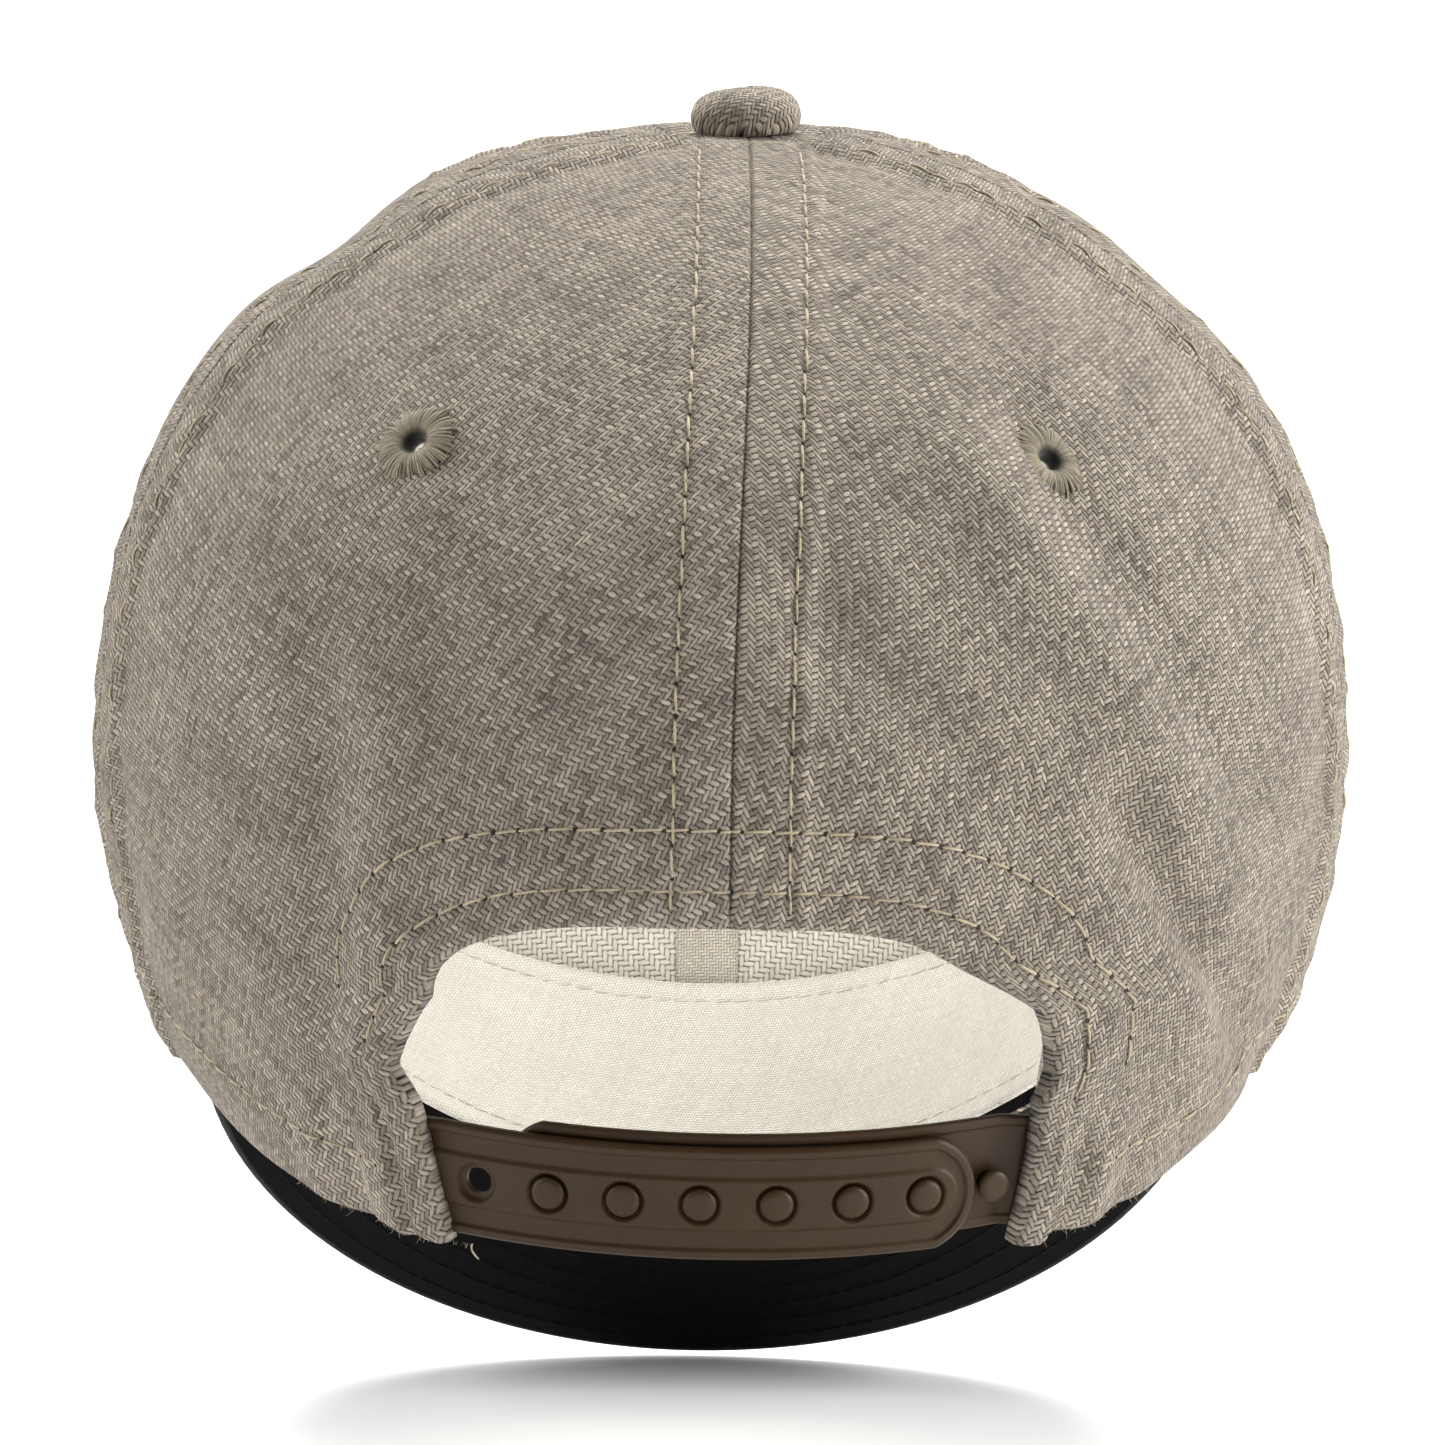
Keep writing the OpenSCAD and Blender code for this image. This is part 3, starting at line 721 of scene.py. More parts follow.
BUCKRAM = twill("buckram_mesh", (0.9 * MM, 0.9 * MM), linear(226, 222, 210), linear(192, 186, 170),
                linear(120, 114, 100), bump=0.35, roughness=0.8, wobble=0.4)
STITCH = thread_material("stitch_thread", linear(200, 187, 157), linear(140, 127, 101))
# Its last colour is painted shade between the threads and in the hole
EYELET_THREAD = radial_thread("eyelet_thread", linear(180, 169, 142), linear(100, 91, 71), linear(20, 16, 12))
# Painted shade: a dark material for the pits that stand in for the shade in each needle hole
NEEDLE_HOLE_SHADE = thread_material("needle_hole_shade", linear(52, 44, 35), linear(34, 28, 22), sheen=0.0)
WHITE_THREAD = thread_material("white_thread", linear(224, 220, 206), linear(172, 166, 150))
STRAP = plastic("strap_plastic", linear(62, 45, 25), linear(51, 36, 19), roughness=0.45)
BLACK_PLASTIC = plastic("black_plastic", linear(40, 39, 38), linear(22, 21, 21))
BLACK_THREAD = thread_material("black_thread", linear(22, 21, 22), linear(12, 11, 12), sheen=0.0,
                               specular=0.05)
METAL = brushed_metal("tinplate")
FOAM = foam_material("thin_foam", linear(222, 218, 208), linear(160, 154, 142))


# ---- the crown's six panels ----

CLOTH_T = 1.0 * MM


def even_levels(azimuth, bottom, step):
    """Levels from the crown's top to its rim, evenly spaced along the cloth"""
    u = np.linspace(TOP_HOLE_U, bottom, 800)
    length = distance_along(crown_point(azimuth, u))
    return np.interp(np.linspace(0, length[-1], int(length[-1] / step)), length, u)


def across_shares(width, edge=10 * MM, fine=0.4 * MM, coarse=1.1 * MM):
    """Shares across a panel, closer together near both seams"""
    side = np.concatenate([[0.0, 0.15 * MM, 0.35 * MM], np.arange(0.65 * MM, edge, fine)])
    middle = np.linspace(edge, width - edge, int((width - 2 * edge) / coarse))
    return np.concatenate([side, middle, width - side[::-1]]) / width


def eyelet_places():
    """Azimuth of each vent eyelet, in the middle of its panel"""
    rear = 0.45 * rear_seam(EYELET_U)
    side = (rear_seam(EYELET_U) + front_seam(EYELET_U)) / 2
    front = (front_seam(EYELET_U) + 180) / 2
    return {"eyelet_rear_left": rear, "eyelet_rear_right": -rear, "eyelet_side_left": side,
            "eyelet_side_right": -side, "eyelet_front_left": front, "eyelet_front_right": -front}


def cloth_uv(azimuth, u, middle, grain):
    """Flat cloth coordinates: across to the right seen from outside, and up, turned by the grain angle"""
    p = crown_point(azimuth, u)
    width = np.linalg.norm(p - crown_point(middle(u), u), axis=-1) * np.sign(middle(u) - azimuth)
    levels = np.linspace(0, 2, 400)
    ridge = crown_point(middle(levels), levels)
    height = -np.interp(u, levels, distance_along(ridge))
    t = math.radians(grain)
    return np.stack([width * math.cos(t) - height * math.sin(t) + middle(1.0) / 90,
                     width * math.sin(t) + height * math.cos(t)], -1)


def cut_arch(azimuth, u):
    """Drops the cells that lie wholly in the rear opening and draws the edge's vertices onto its curve"""
    inside = (np.abs(azimuth) < ARCH_HALF) & (u > arch_low(azimuth))
    corners = [inside[:-1, :-1], inside[1:, :-1], inside[:-1, 1:], inside[1:, 1:]]
    keep = ~np.logical_and.reduce(corners)
    used = np.zeros(inside.shape, bool)
    for rows, columns in ((slice(0, -1), slice(0, -1)), (slice(1, None), slice(0, -1)),
                          (slice(0, -1), slice(1, None)), (slice(1, None), slice(1, None))):
        used[rows, columns] |= keep
    edge_azimuth, edge_u = arch_curve(0, 2000)
    row, column = np.nonzero(inside & used)
    across = np.radians(azimuth[row, column][:, None] - edge_azimuth[None]) * RIM_BACK
    down = (u[row, column][:, None] - edge_u[None]) * MID_Z
    nearest = np.argmin(across ** 2 + down ** 2, axis=1)
    azimuth, u = azimuth.copy(), u.copy()
    azimuth[row, column], u[row, column] = edge_azimuth[nearest], edge_u[nearest]
    return azimuth, u, keep


def build_panel(name, node, low_azimuth, high_azimuth, side, grain, arch=False):
    """One crown panel between two seams; side is +1 on the wearer's left and -1 on the right"""
    widest = np.linalg.norm(crown_point(high_azimuth(1.0), 1.0) - crown_point(low_azimuth(1.0), 1.0)) * 1.05
    shares = across_shares(widest)
    gap = 0.02      # degrees of air between a panel's edge and its seam
    if arch:
        beside = ARCH_HALF / high_azimuth(2.0)
        shares = np.unique(np.concatenate([shares, beside * np.linspace(0.86, 1.16, 31)]))
    levels = even_levels(high_azimuth(1.0), 2.0, 0.6 * MM)
    u, s = np.meshgrid(levels, shares, indexing="ij")
    low, high = low_azimuth(u) + gap, high_azimuth(u) - gap
    azimuth = side * (low + (high - low) * s)
    keep = np.ones((len(levels) - 1, len(shares) - 1), bool)
    if arch:
        azimuth, u, keep = cut_arch(azimuth, u)
    outer = cloth_point(azimuth, u)
    turned_in = 1.0 * MM * (1 - smooth(arch_distance(base_point(azimuth, u)), 9 * MM, 12 * MM))
    inner = outer - (CLOTH_T + turned_in)[..., None] * base_normal(azimuth, u)

    def middle(level):
        return side * (low_azimuth(np.asarray(level)) + high_azimuth(np.asarray(level))) / 2

    uv = cloth_uv(azimuth, u, middle, grain)
    cell = (outer[:-1, :-1] + outer[1:, 1:]) / 2
    for place in eyelet_places().values():
        keep &= np.linalg.norm(cell - base_point(place, EYELET_U), axis=-1) > 2.6 * MM
    obj = shell(name, outer, inner, uv, keep)
    return finish_piece(obj, FABRIC, nodes=[node])


def build_panels():
    for side, word, rear_grain in ((1, "left", 24), (-1, "right", -28)):
        for place, low, high, grain in (("rear", back_seam, rear_seam, rear_grain),
                                        ("side", rear_seam, front_seam, -14 * side),
                                        ("front", front_seam, face_seam, 8 * side)):
            build_panel(f"{place}_panel_{word}", f"panel_{place}_{word}", low, high, side, grain,
                        arch=place == "rear")


# ---- stitching ----

def stitches(name, azimuth, u, pitch, material, measure=None, depth=None, radius=0.2 * MM):
    """Stitches along a line of the cloth, given closely, with a needle hole between each two, drawn as a dark
    pit of painted shade.
    measure tells how far along its seam each place is; depth is given for rows on the inner face"""
    if depth is None:
        p, n = cloth_point(azimuth, u), base_normal(azimuth, u)
    else:
        p, n = layer_point(azimuth, u, depth), -base_normal(azimuth, u)
    run = distance_along(p) if measure is None else measure
    first, last = math.ceil(run[0] / pitch), math.floor(run[-1] / pitch)
    ends = np.arange(first, last + 1) * pitch + rng.normal(0, 0.04 * pitch, last + 1 - first)
    middle, reach = (ends[1:] + ends[:-1]) / 2, np.diff(ends)
    count = len(middle)
    t = np.linspace(-0.5, 0.5, 9)
    at = middle[:, None] + t[None] * reach[:, None] * 0.90
    line = np.stack([np.interp(at, run, p[:, k]) for k in range(3)], -1)
    normal = np.stack([np.interp(at, run, n[:, k]) for k in range(3)], -1)
    tangent = np.gradient(line, axis=1)
    tangent /= np.linalg.norm(tangent, axis=2, keepdims=True)
    sideways = np.cross(normal, tangent)
    lift = 0.30 * MM * (1 - np.abs(2 * t) ** 3) - 0.10 * MM
    slant = 0.10 * MM * 2 * t
    line = line + lift[None, :, None] * normal + slant[None, :, None] * sideways
    line = line + rng.normal(0, 0.04 * MM, (count, 1, 3))
    finish_piece(tubes(name, line, radius, taper=0.3), material)
    if depth is None:
        # Painted shade: each needle hole is a short dark pit sunk into the cloth
        hole = np.stack([np.interp(ends, run, p[:, k]) for k in range(3)], -1)
        out = np.stack([np.interp(ends, run, n[:, k]) for k in range(3)], -1)
        pits = np.stack([hole - 0.4 * MM * out, hole + 0.05 * MM * out], 1)
        pit_radii = rng.uniform(0.26, 0.42, len(ends)) * MM
        finish_piece(tubes(name + "_holes", pits, pit_radii, sides=7), NEEDLE_HOLE_SHADE)


def build_stitching():
    """Topstitches on both sides of each seam, two rows round the rear opening, and one along the rim"""
    for name, (azimuth_of, bottom) in SEAMS.items():
        start = np.interp(18 * MM, SEAM_LENGTH[name][1], SEAM_LENGTH[name][0])
        u = np.linspace(start, bottom - 0.02, 900)
        centre = azimuth_of(u)
        along = np.interp(u, *SEAM_LENGTH[name])
        per_degree = np.linalg.norm(crown_point(centre + 0.5, u) - crown_point(centre - 0.5, u), axis=-1)
        wander = 0.25 * MM * (PUCKER[name] - 0.4) * np.sin(along / MM / SCALLOP + 1.2)
        for side, word in ((1, "a"), (-1, "b")):
            azimuth = centre + side * np.minimum((ROW_OFFSET + wander) / per_degree, 40)
            stitches(f"topstitch_{name}_{word}", azimuth, u, STITCH_PITCH, STITCH,
                     measure=along)
    for word, offset in (("outer", 12.0 * MM), ("inner", 4.6 * MM)):
        azimuth, u = arch_curve(offset, 900, low_phi=14)
        stitches(f"arch_stitch_{word}", azimuth, u, 3.6 * MM, STITCH)
    azimuth = np.linspace(33, 327, 2400)
    azimuth = np.where(azimuth > 180, azimuth - 360, azimuth)
    u = 2 - 8.6 * MM / (MID_Z - rim_z(azimuth))
    stitches("rim_stitch", azimuth, u, 3.6 * MM, STITCH)


# ---- vent eyelets ----

def surface_frame(azimuth, u):
    """A frame on the cloth: its z points out of the crown and its y up along it"""
    p = cloth_point(np.array([azimuth]), np.array([u]))[0]
    n = Vector(base_normal(np.array([azimuth]), np.array([u]))[0])
    up = Vector((0, 0, 1))
    x = up.cross(n).normalized()
    y = n.cross(x)
    m = Matrix.Identity(4)
    for column, axis in enumerate((x, y, n)):
        m.col[column][:3] = axis
    m.col[3][:3] = p
    return m


def build_eyelet(name, azimuth):
    """A ring of satin stitches that dips into its hole like a funnel"""
    threads = 88
    per = 6
    profile = np.array([(1.9, -3.0), (1.4, -2.2), (1.2, -1.4), (1.25, -0.8), (1.45, -0.3), (1.9, 0.12),
                        (2.5, 0.42), (3.2, 0.52), (3.8, 0.50), (4.3, 0.40), (4.8, 0.22), (5.3, -0.06),
                        (5.35, -0.4), (3.0, -1.1), (1.9, -3.0)]) * MM
    reach = rng.normal(0, 0.36, threads)
    tall = rng.normal(0, 0.07, threads)
    lean = rng.normal(0, 0.02, threads)

    def ripple(grid, r, z, turn):
        thread = np.arange(len(turn)) // per
        within = (np.arange(len(turn)) % per) / per
        ridge = np.abs(np.sin(np.pi * within)) ** 0.7
        out = smooth(r / MM, 2.0, 5.2)[:, None]
        shown = smooth(z / MM, -1.0, -0.2)[:, None]
        new_r = r[:, None] + out * reach[thread][None] * MM * shown
        angle = turn[None] + lean[thread][None] * out
        lift = (0.15 * ridge[None] * (0.35 + 0.65 * out) + tall[thread][None] * out) * MM * shown
        sag = 0.0062 * (new_r / MM) ** 2 * MM * shown
        return np.stack([new_r * np.cos(angle), new_r * np.sin(angle), z[:, None] + lift - sag], -1)

    obj = revolve(name, profile, threads * per, surface_frame(azimuth, EYELET_U), ripple)
    layer = obj.data.uv_layers.new(name="threads")
    back = surface_frame(azimuth, EYELET_U).inverted()
    for polygon in obj.data.polygons:
        middle = back @ polygon.center
        first = math.floor(math.atan2(middle.y, middle.x) / (2 * math.pi) * threads)
        for loop in polygon.loop_indices:
            place = back @ obj.data.vertices[obj.data.loops[loop].vertex_index].co
            count = math.atan2(place.y, place.x) / (2 * math.pi) * threads
            if count - first > threads / 2:
                count -= threads
            if first - count > threads / 2:
                count += threads
            layer.data[loop].uv = (count, math.hypot(place.x, place.y))
    return finish_piece(obj, EYELET_THREAD, nodes=[name.replace("thread_", "")])


def build_eyelets():
    for name, azimuth in eyelet_places().items():
        build_eyelet("thread_" + name, azimuth)


# ---- the covered button ----

def top_frame():
    tilt = Matrix.Rotation(-math.atan(TOP_SLOPE), 4, "X")
    return Matrix.Translation((-TOP_SHIFT, TOP_Y, TOP_Z)) @ tilt


def build_button():
    radius, waist, height = 8.0 * MM, 2.4 * MM, 6.7 * MM
    k = np.linspace(0, np.pi / 2, 34)
    top = np.stack([radius * np.cos(k) ** 0.66, waist + (height - waist) * np.sin(k) ** 0.85], -1)
    tucked = np.array([(5.8, 0.5), (6.4, -0.1), (7.0, 0.2), (7.45, 0.8), (7.8, 1.5)]) * MM
    profile = np.concatenate([tucked, top])

    def ripple(grid, r, z, turn):
        low = 1 - smooth(z, 0.3 * MM, 3.6 * MM)
        gather = np.sin(17 * turn + 0.8 * np.sin(3 * turn)) * 0.16 + np.sin(29 * turn + 1.1) * 0.07
        crease = bump_at(turn, 1.2, 0.10) * -0.35 + bump_at(turn, 1.45, 0.08) * 0.22
        factor = 1 + (gather[None] * low[:, None] * 0.09)
        x, y = grid[..., 0] * factor, grid[..., 1] * factor
        pinch = 0.30 * MM * np.exp(-(((x + 0.8 * MM) / (1.6 * MM)) ** 2 + ((y - 0.6 * MM) / (0.5 * MM)) ** 2))
        dip = -0.22 * MM * np.exp(-(((x + 0.8 * MM) / (2.0 * MM)) ** 2 + ((y - 1.7 * MM) / (0.6 * MM)) ** 2))
        lump = 0.12 * MM * np.sin(x / (1.9 * MM) + 0.5) * np.sin(y / (2.3 * MM)) * (1 - low[:, None])
        z_new = grid[..., 2] + pinch + dip + lump + crease[None] * MM * 0.4 * (low * (1 - low))[:, None]
        return np.stack([x, y, z_new], -1)

    obj = revolve("button_cloth", profile, 180, Matrix.Identity(4), ripple)
    uv = obj.data.uv_layers.new(name="cloth")
    for loop in obj.data.loops:
        co = obj.data.vertices[loop.vertex_index].co
        uv.data[loop.index].uv = (co.x + 0.2 * co.z, co.y + co.z * (1 if co.y < 0 else -1) * 0.8)
    obj.data.transform(top_frame() @ Matrix.Rotation(math.radians(4), 4, "Y"))
    finish_piece(obj, FABRIC, nodes=["button_cover"])


def build_button_inside():
    """The tin shell under the cloth, the rivet, and the cap that holds it inside the crown"""
    k = np.linspace(0, np.pi / 2, 16)
    dome = np.stack([6.85 * np.cos(k) ** 0.6, 0.4 + 4.2 * np.sin(k) ** 0.75], -1)
    lining = np.stack([6.2 * np.cos(k[::-1]) ** 0.6, 0.4 + 3.5 * np.sin(k[::-1]) ** 0.75], -1)
    rivet = np.array([(0, -4.6), (1.2, -4.6), (1.2, 2.9), (3.4, 2.9), (3.4, 3.4), (0, 3.4)])
    back = np.array([(1.4, -1.8), (6.4, -1.8), (6.8, -2.2), (6.8, -3.2), (6.2, -3.9), (4.8, -4.3),
                     (2.2, -4.5), (1.4, -4.4), (1.4, -1.8)])
    tin = np.concatenate([dome, lining, dome[:1]])
    for name, profile, material, slot in (("button_shell", tin, METAL, "button_metal"),
                                          ("button_rivet", rivet, METAL, "button_metal"),
                                          ("button_back", back, BLACK_PLASTIC, "button_back")):
        obj = revolve("inner_" + name, profile * MM, 72, top_frame())
        finish_piece(obj, material, nodes=[name])


# ---- the snap strap ----

STRAP_W, STRAP_R, STRAP_LEAN, STRAP_MID_Z = 14.8 * MM, 80 * MM, 16.0, 7.4 * MM
STRAP_Y = 85.3 * MM
BAND_T, INNER_T, INNER_LIFT = 1.6 * MM, 1.3 * MM, 1.2 * MM
INNER_R = STRAP_R - BAND_T - 0.3 * MM
PITCH_ANGLE = math.degrees(9.7 * MM / STRAP_R)
HOLES = [23 - k * PITCH_ANGLE for k in range(7)]
STUDS = [23 - k * PITCH_ANGLE for k in range(1, 8)]
TIP_REACH = 6.9 * MM
FLEX = 26.8                 # where a band leaves the cloth, in degrees from the middle of the back
ROOT_DEPTH = 1.75 * MM      # how deep a band's sewn root lies in the cloth
HEAD_R, HOLE_R = 2.15 * MM, 1.75 * MM


def strap_frame():
    return (Matrix.Translation((0, STRAP_Y, STRAP_MID_Z)) @ Matrix.Rotation(math.radians(-STRAP_LEAN), 4, "X")
            @ Matrix.Translation((0, -STRAP_R, 0)))


def strap_point(angle, radius, height):
    """Points of the strap's own cylinder, in the row frame"""
    a = np.radians(angle)
    local = np.stack(np.broadcast_arrays(radius * np.sin(a), radius * np.cos(a), height, np.ones_like(a)), -1)
    return (local @ np.array(strap_frame()).T)[..., :3]


def root_point(angle, depth, height):
    """Points of a band where it lies sewn inside the crown cloth"""
    azimuth = angle
    z = STRAP_MID_Z + height * math.cos(math.radians(STRAP_LEAN)) + rim_z(azimuth)
    u = 1 + (MID_Z - z) / (MID_Z - rim_z(azimuth))
    return layer_point(azimuth, u, depth)


def band_outline(angles, last_snap, direction):
    """Half widths along a band, which narrow to its rounded tip"""
    along = (np.asarray(angles) - last_snap) * direction * math.pi / 180 * STRAP_R
    round_r = STRAP_W / 2 + 0.4 * MM
    from_centre = np.maximum(along - (TIP_REACH - round_r), 0)
    half = np.sqrt(np.maximum(round_r ** 2 - from_centre ** 2, 0))
    return np.minimum(half, STRAP_W / 2)


def band_mesh(name, root_angle, last_snap, outer_r, thickness, lift, surface):
    """A curved band that ends in a rounded tip. surface(along, across, edge) gives its raised pattern"""
    direction = 1 if last_snap > root_angle else -1
    tip_angle = last_snap + direction * math.degrees(TIP_REACH / STRAP_R)
    body = np.linspace(root_angle, last_snap, int(abs(root_angle - last_snap) / 0.19))
    cap = last_snap + (tip_angle - last_snap) * np.sin(np.linspace(0.03, 1, 46) * np.pi / 2)
    angles = np.concatenate([body, cap])
    across = np.sin(np.linspace(-1, 1, 71) * np.pi / 2) * 0.35 + np.linspace(-1, 1, 71) * 0.65
    half = band_outline(angles, last_snap, direction)
    half[-1] = 0.02 * MM
    a = np.repeat(angles[:, None], len(across), 1)
    w = half[:, None] * across[None]
    along = (a - last_snap) * direction * math.pi / 180 * STRAP_R
    round_r = STRAP_W / 2 + 0.4 * MM
    centre = TIP_REACH - round_r
    radial = round_r - np.hypot(np.maximum(along - centre, 0), w)
    edge = np.minimum(np.where(along > centre, radial, 1.0), STRAP_W / 2 - np.abs(w))
    height = surface(a, w, np.maximum(edge, 0), along)
    inside = smooth(np.abs(a), FLEX - 0.2, FLEX + 3.4)[..., None]
    outer = strap_point(a, outer_r + height, w + lift) * (1 - inside)
    sewn, sewn_normal = root_point(a, 0, w + lift), base_normal(a, 1.9 + 0 * a)
    outer = outer + (sewn - (ROOT_DEPTH - height)[..., None] * sewn_normal) * inside
    soft_edge = 0.3 * MM * (1 - smooth(edge, 0, 0.5 * MM))
    back = strap_point(a, outer_r - thickness + soft_edge, w + lift) * (1 - inside)
    back = back + (sewn - (ROOT_DEPTH + thickness) * sewn_normal) * inside
    uv = np.stack([along, w], -1)
    return shell(name, outer, back, uv)


def cut_holes(obj, angles):
    """Cuts round snap holes through the outer band"""
    bm = bmesh.new()
    frame_matrix = strap_frame()
    for angle in angles:
        turn = Matrix.Rotation(math.radians(90 - angle), 4, "Z") @ Matrix.Rotation(math.radians(90), 4, "Y")
        at = frame_matrix @ turn @ Matrix.Translation((0, 0, STRAP_R - BAND_T / 2))
        bmesh.ops.create_cone(bm, cap_ends=True, segments=40, radius1=HOLE_R, radius2=HOLE_R, depth=6 * MM,
                              matrix=at)
    mesh = bpy.data.meshes.new("hole_cutter")
    bm.to_mesh(mesh)
    bm.free()
    cutter = add_object("hole_cutter", mesh)
    modifier = obj.modifiers.new("holes", "BOOLEAN")
    modifier.object = cutter
    modifier.operation = "DIFFERENCE"
    modifier.solver = "EXACT"
    bpy.context.view_layer.objects.active = obj
    bpy.context.view_layer.update()
    done = bpy.data.meshes.new_from_object(obj.evaluated_get(bpy.context.evaluated_depsgraph_get()))
    obj.modifiers.clear()
    obj.data = done
    bpy.data.objects.remove(cutter)
    return obj


def hole_band_surface(a, w, edge, along):
    """The raised border, the raised middle band with its round end, and a recess round each hole"""
    to_line = np.hypot(np.maximum(along - 0.9 * MM, 0), w)
    border = 1 - smooth(edge, 1.15 * MM, 1.4 * MM)
    middle = 1 - smooth(to_line, 3.3 * MM, 3.55 * MM)
    height = -0.42 * MM + 0.42 * MM * np.maximum(border, middle)
    for angle in HOLES:
        from_hole = np.hypot((a - angle) * math.pi / 180 * STRAP_R, w)
        height = height - 0.85 * MM * (1 - smooth(from_hole, 2.35 * MM, 2.75 * MM)) * middle
    return height - 0.32 * MM * (1 - smooth(edge, 0, 0.55 * MM)) ** 2


def stud_band_surface(a, w, edge, along):
    """Only a raised border: the studs are pieces of their own"""
    border = 1 - smooth(edge, 1.15 * MM, 1.4 * MM)
    return -0.3 * MM + 0.3 * MM * border - 0.25 * MM * (1 - smooth(edge, 0, 0.5 * MM)) ** 2


def stud(name, angle):
    """One stud: a neck with a flat, softly rounded head and a small moulding mark"""
    base = INNER_R - 0.5 * MM
    top = STRAP_R + 0.35 * MM
    neck = 1.4 * MM
    head_foot = STRAP_R - 0.72 * MM
    profile = np.array([(0, base), (neck, base), (neck, head_foot), (HEAD_R - 0.15 * MM, head_foot),
                        (HEAD_R, STRAP_R - 0.55 * MM), (HEAD_R, top - 0.55 * MM),
                        (HEAD_R - 0.08 * MM, top - 0.32 * MM), (HEAD_R - 0.35 * MM, top - 0.08 * MM),
                        (HEAD_R - 0.8 * MM, top + 0.02 * MM), (0.5 * MM, top + 0.06 * MM),
                        (0, top + 0.06 * MM)])
    turn = Matrix.Rotation(math.radians(90 - angle), 4, "Z") @ Matrix.Rotation(math.radians(90), 4, "Y")
    return revolve(name, profile, 40, strap_frame() @ turn)


def join(objects, name):
    """One object made of several objects' meshes"""
    bm = bmesh.new()
    for obj in objects:
        bm.from_mesh(obj.data)
    mesh = bpy.data.meshes.new(name)
    bm.to_mesh(mesh)
    bm.free()
    for obj in objects:
        bpy.data.objects.remove(obj)
    return add_object(name, mesh)


def build_straps():
    last_hole, last_stud = HOLES[-1], STUDS[0]
    holes = band_mesh("hole_strap", 38.0, last_hole, STRAP_R, BAND_T, 0.0, hole_band_surface)
    cut_holes(holes, HOLES)
    studs_band = band_mesh("stud_strap", -38.0, last_stud, INNER_R, INNER_T, INNER_LIFT, stud_band_surface)
    heads = [stud(f"stud_{k}", angle) for k, angle in enumerate(STUDS)]
    studs = join([studs_band] + heads, "stud_strap_body")
    for obj, node, band, side in ((holes, "strap_with_holes", "hole_band", 1),
                                  (studs, "strap_with_studs", "stud_band", -1)):
        obj.data.materials.clear()
        obj.data.materials.append(STRAP)
        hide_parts(node, node + "_root")
        start = strap_point(np.array(side * (FLEX + 1.6)), STRAP_R, 0.0)
        end = strap_point(np.array(side * (FLEX - 1.6)), STRAP_R, 0.0)
        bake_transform(obj)


# ---- the visor ----

VISOR_HALF_W, VISOR_LENGTH = 81 * MM, 67.7 * MM
VISOR_ANGLE = math.atan(VISOR_SLOPE)
WIDEST = -30 * MM / math.cos(VISOR_ANGLE)
VISOR_T = 4.6 * MM


def visor_frame():
    return (Matrix.Translation((0, -RIM_FRONT, RIM_FRONT_Z)) @ Matrix.Rotation(VISOR_ANGLE, 4, "X")
            @ Matrix.Scale(-1, 4, (0, 1, 0)))


def visor_edge(angle, inset=0.0):
    """Points round the visor's outline in its flat drawing, at a distance inside it"""
    reach = np.where(np.sin(angle) >= 0, VISOR_LENGTH - WIDEST, 26 * MM) - inset
    return np.stack([(VISOR_HALF_W - inset) * np.cos(angle), WIDEST + reach * np.sin(angle)], -1)


def visor_point(x, y, z):
    local = np.stack(np.broadcast_arrays(x, y, z, np.ones_like(x)), -1)
    return (local @ np.array(visor_frame()).T)[..., :3]


def build_binding():
    """The bound edge: a soft round bead that runs round the visor from one side of the crown to the other"""
    angle = np.radians(np.linspace(-24, 204, 420))
    line = visor_edge(angle, 0.9 * MM)
    tangent = np.gradient(line, axis=0)
    tangent /= np.linalg.norm(tangent, axis=1, keepdims=True)
    outward = np.stack([tangent[:, 1], -tangent[:, 0]], -1)
    turn = 2 * np.pi * np.arange(20) / 20
    across, tall = 0.95 * MM, VISOR_T / 2 + 0.15 * MM
    ring_out = across * np.sign(np.cos(turn)) * np.abs(np.cos(turn)) ** 0.75
    ring_up = tall * np.sign(np.sin(turn)) * np.abs(np.sin(turn)) ** 0.75
    wave = 1 + 0.03 * np.sin(np.arange(len(line)) * 1.3)
    x = line[:, 0:1] + outward[:, 0:1] * ring_out * wave[:, None]
    y = line[:, 1:2] + outward[:, 1:2] * ring_out * wave[:, None]
    obj = sweep("visor_binding", visor_point(x, y, VISOR_T / 2 + ring_up[None] + 0 * x))
    finish_piece(obj, BINDING, nodes=["visor_edge_binding"])


def root_curve(angle, clear):
    """Points round the crown's rim in the visor's flat drawing, at a distance outside it"""
    depth = RIM_FRONT / math.cos(VISOR_ANGLE)
    return (RIM_HALF_W + clear) * np.cos(angle), -depth + (depth + clear) * np.sin(angle)


def build_visor_root():
    """The covers' turned-in edge, which runs from the visor's root in under the crown's cloth"""
    angle = np.radians(np.linspace(30, 150, 240))[:, None]
    section = np.array([(-1.2, 0.3), (3.9, 0.3), (3.9, 4.4), (3.0, 4.3), (1.8, 3.6), (0.6, 3.5),
                        (-1.2, 3.9)]) * MM
    x, y = root_curve(angle, section[None, :, 0])
    obj = sweep("visor_root_fold", visor_point(x, y, section[None, :, 1] + 0 * x), shade=False)
    clean_mesh(obj)
    finish_piece(obj, VISOR_TOP)


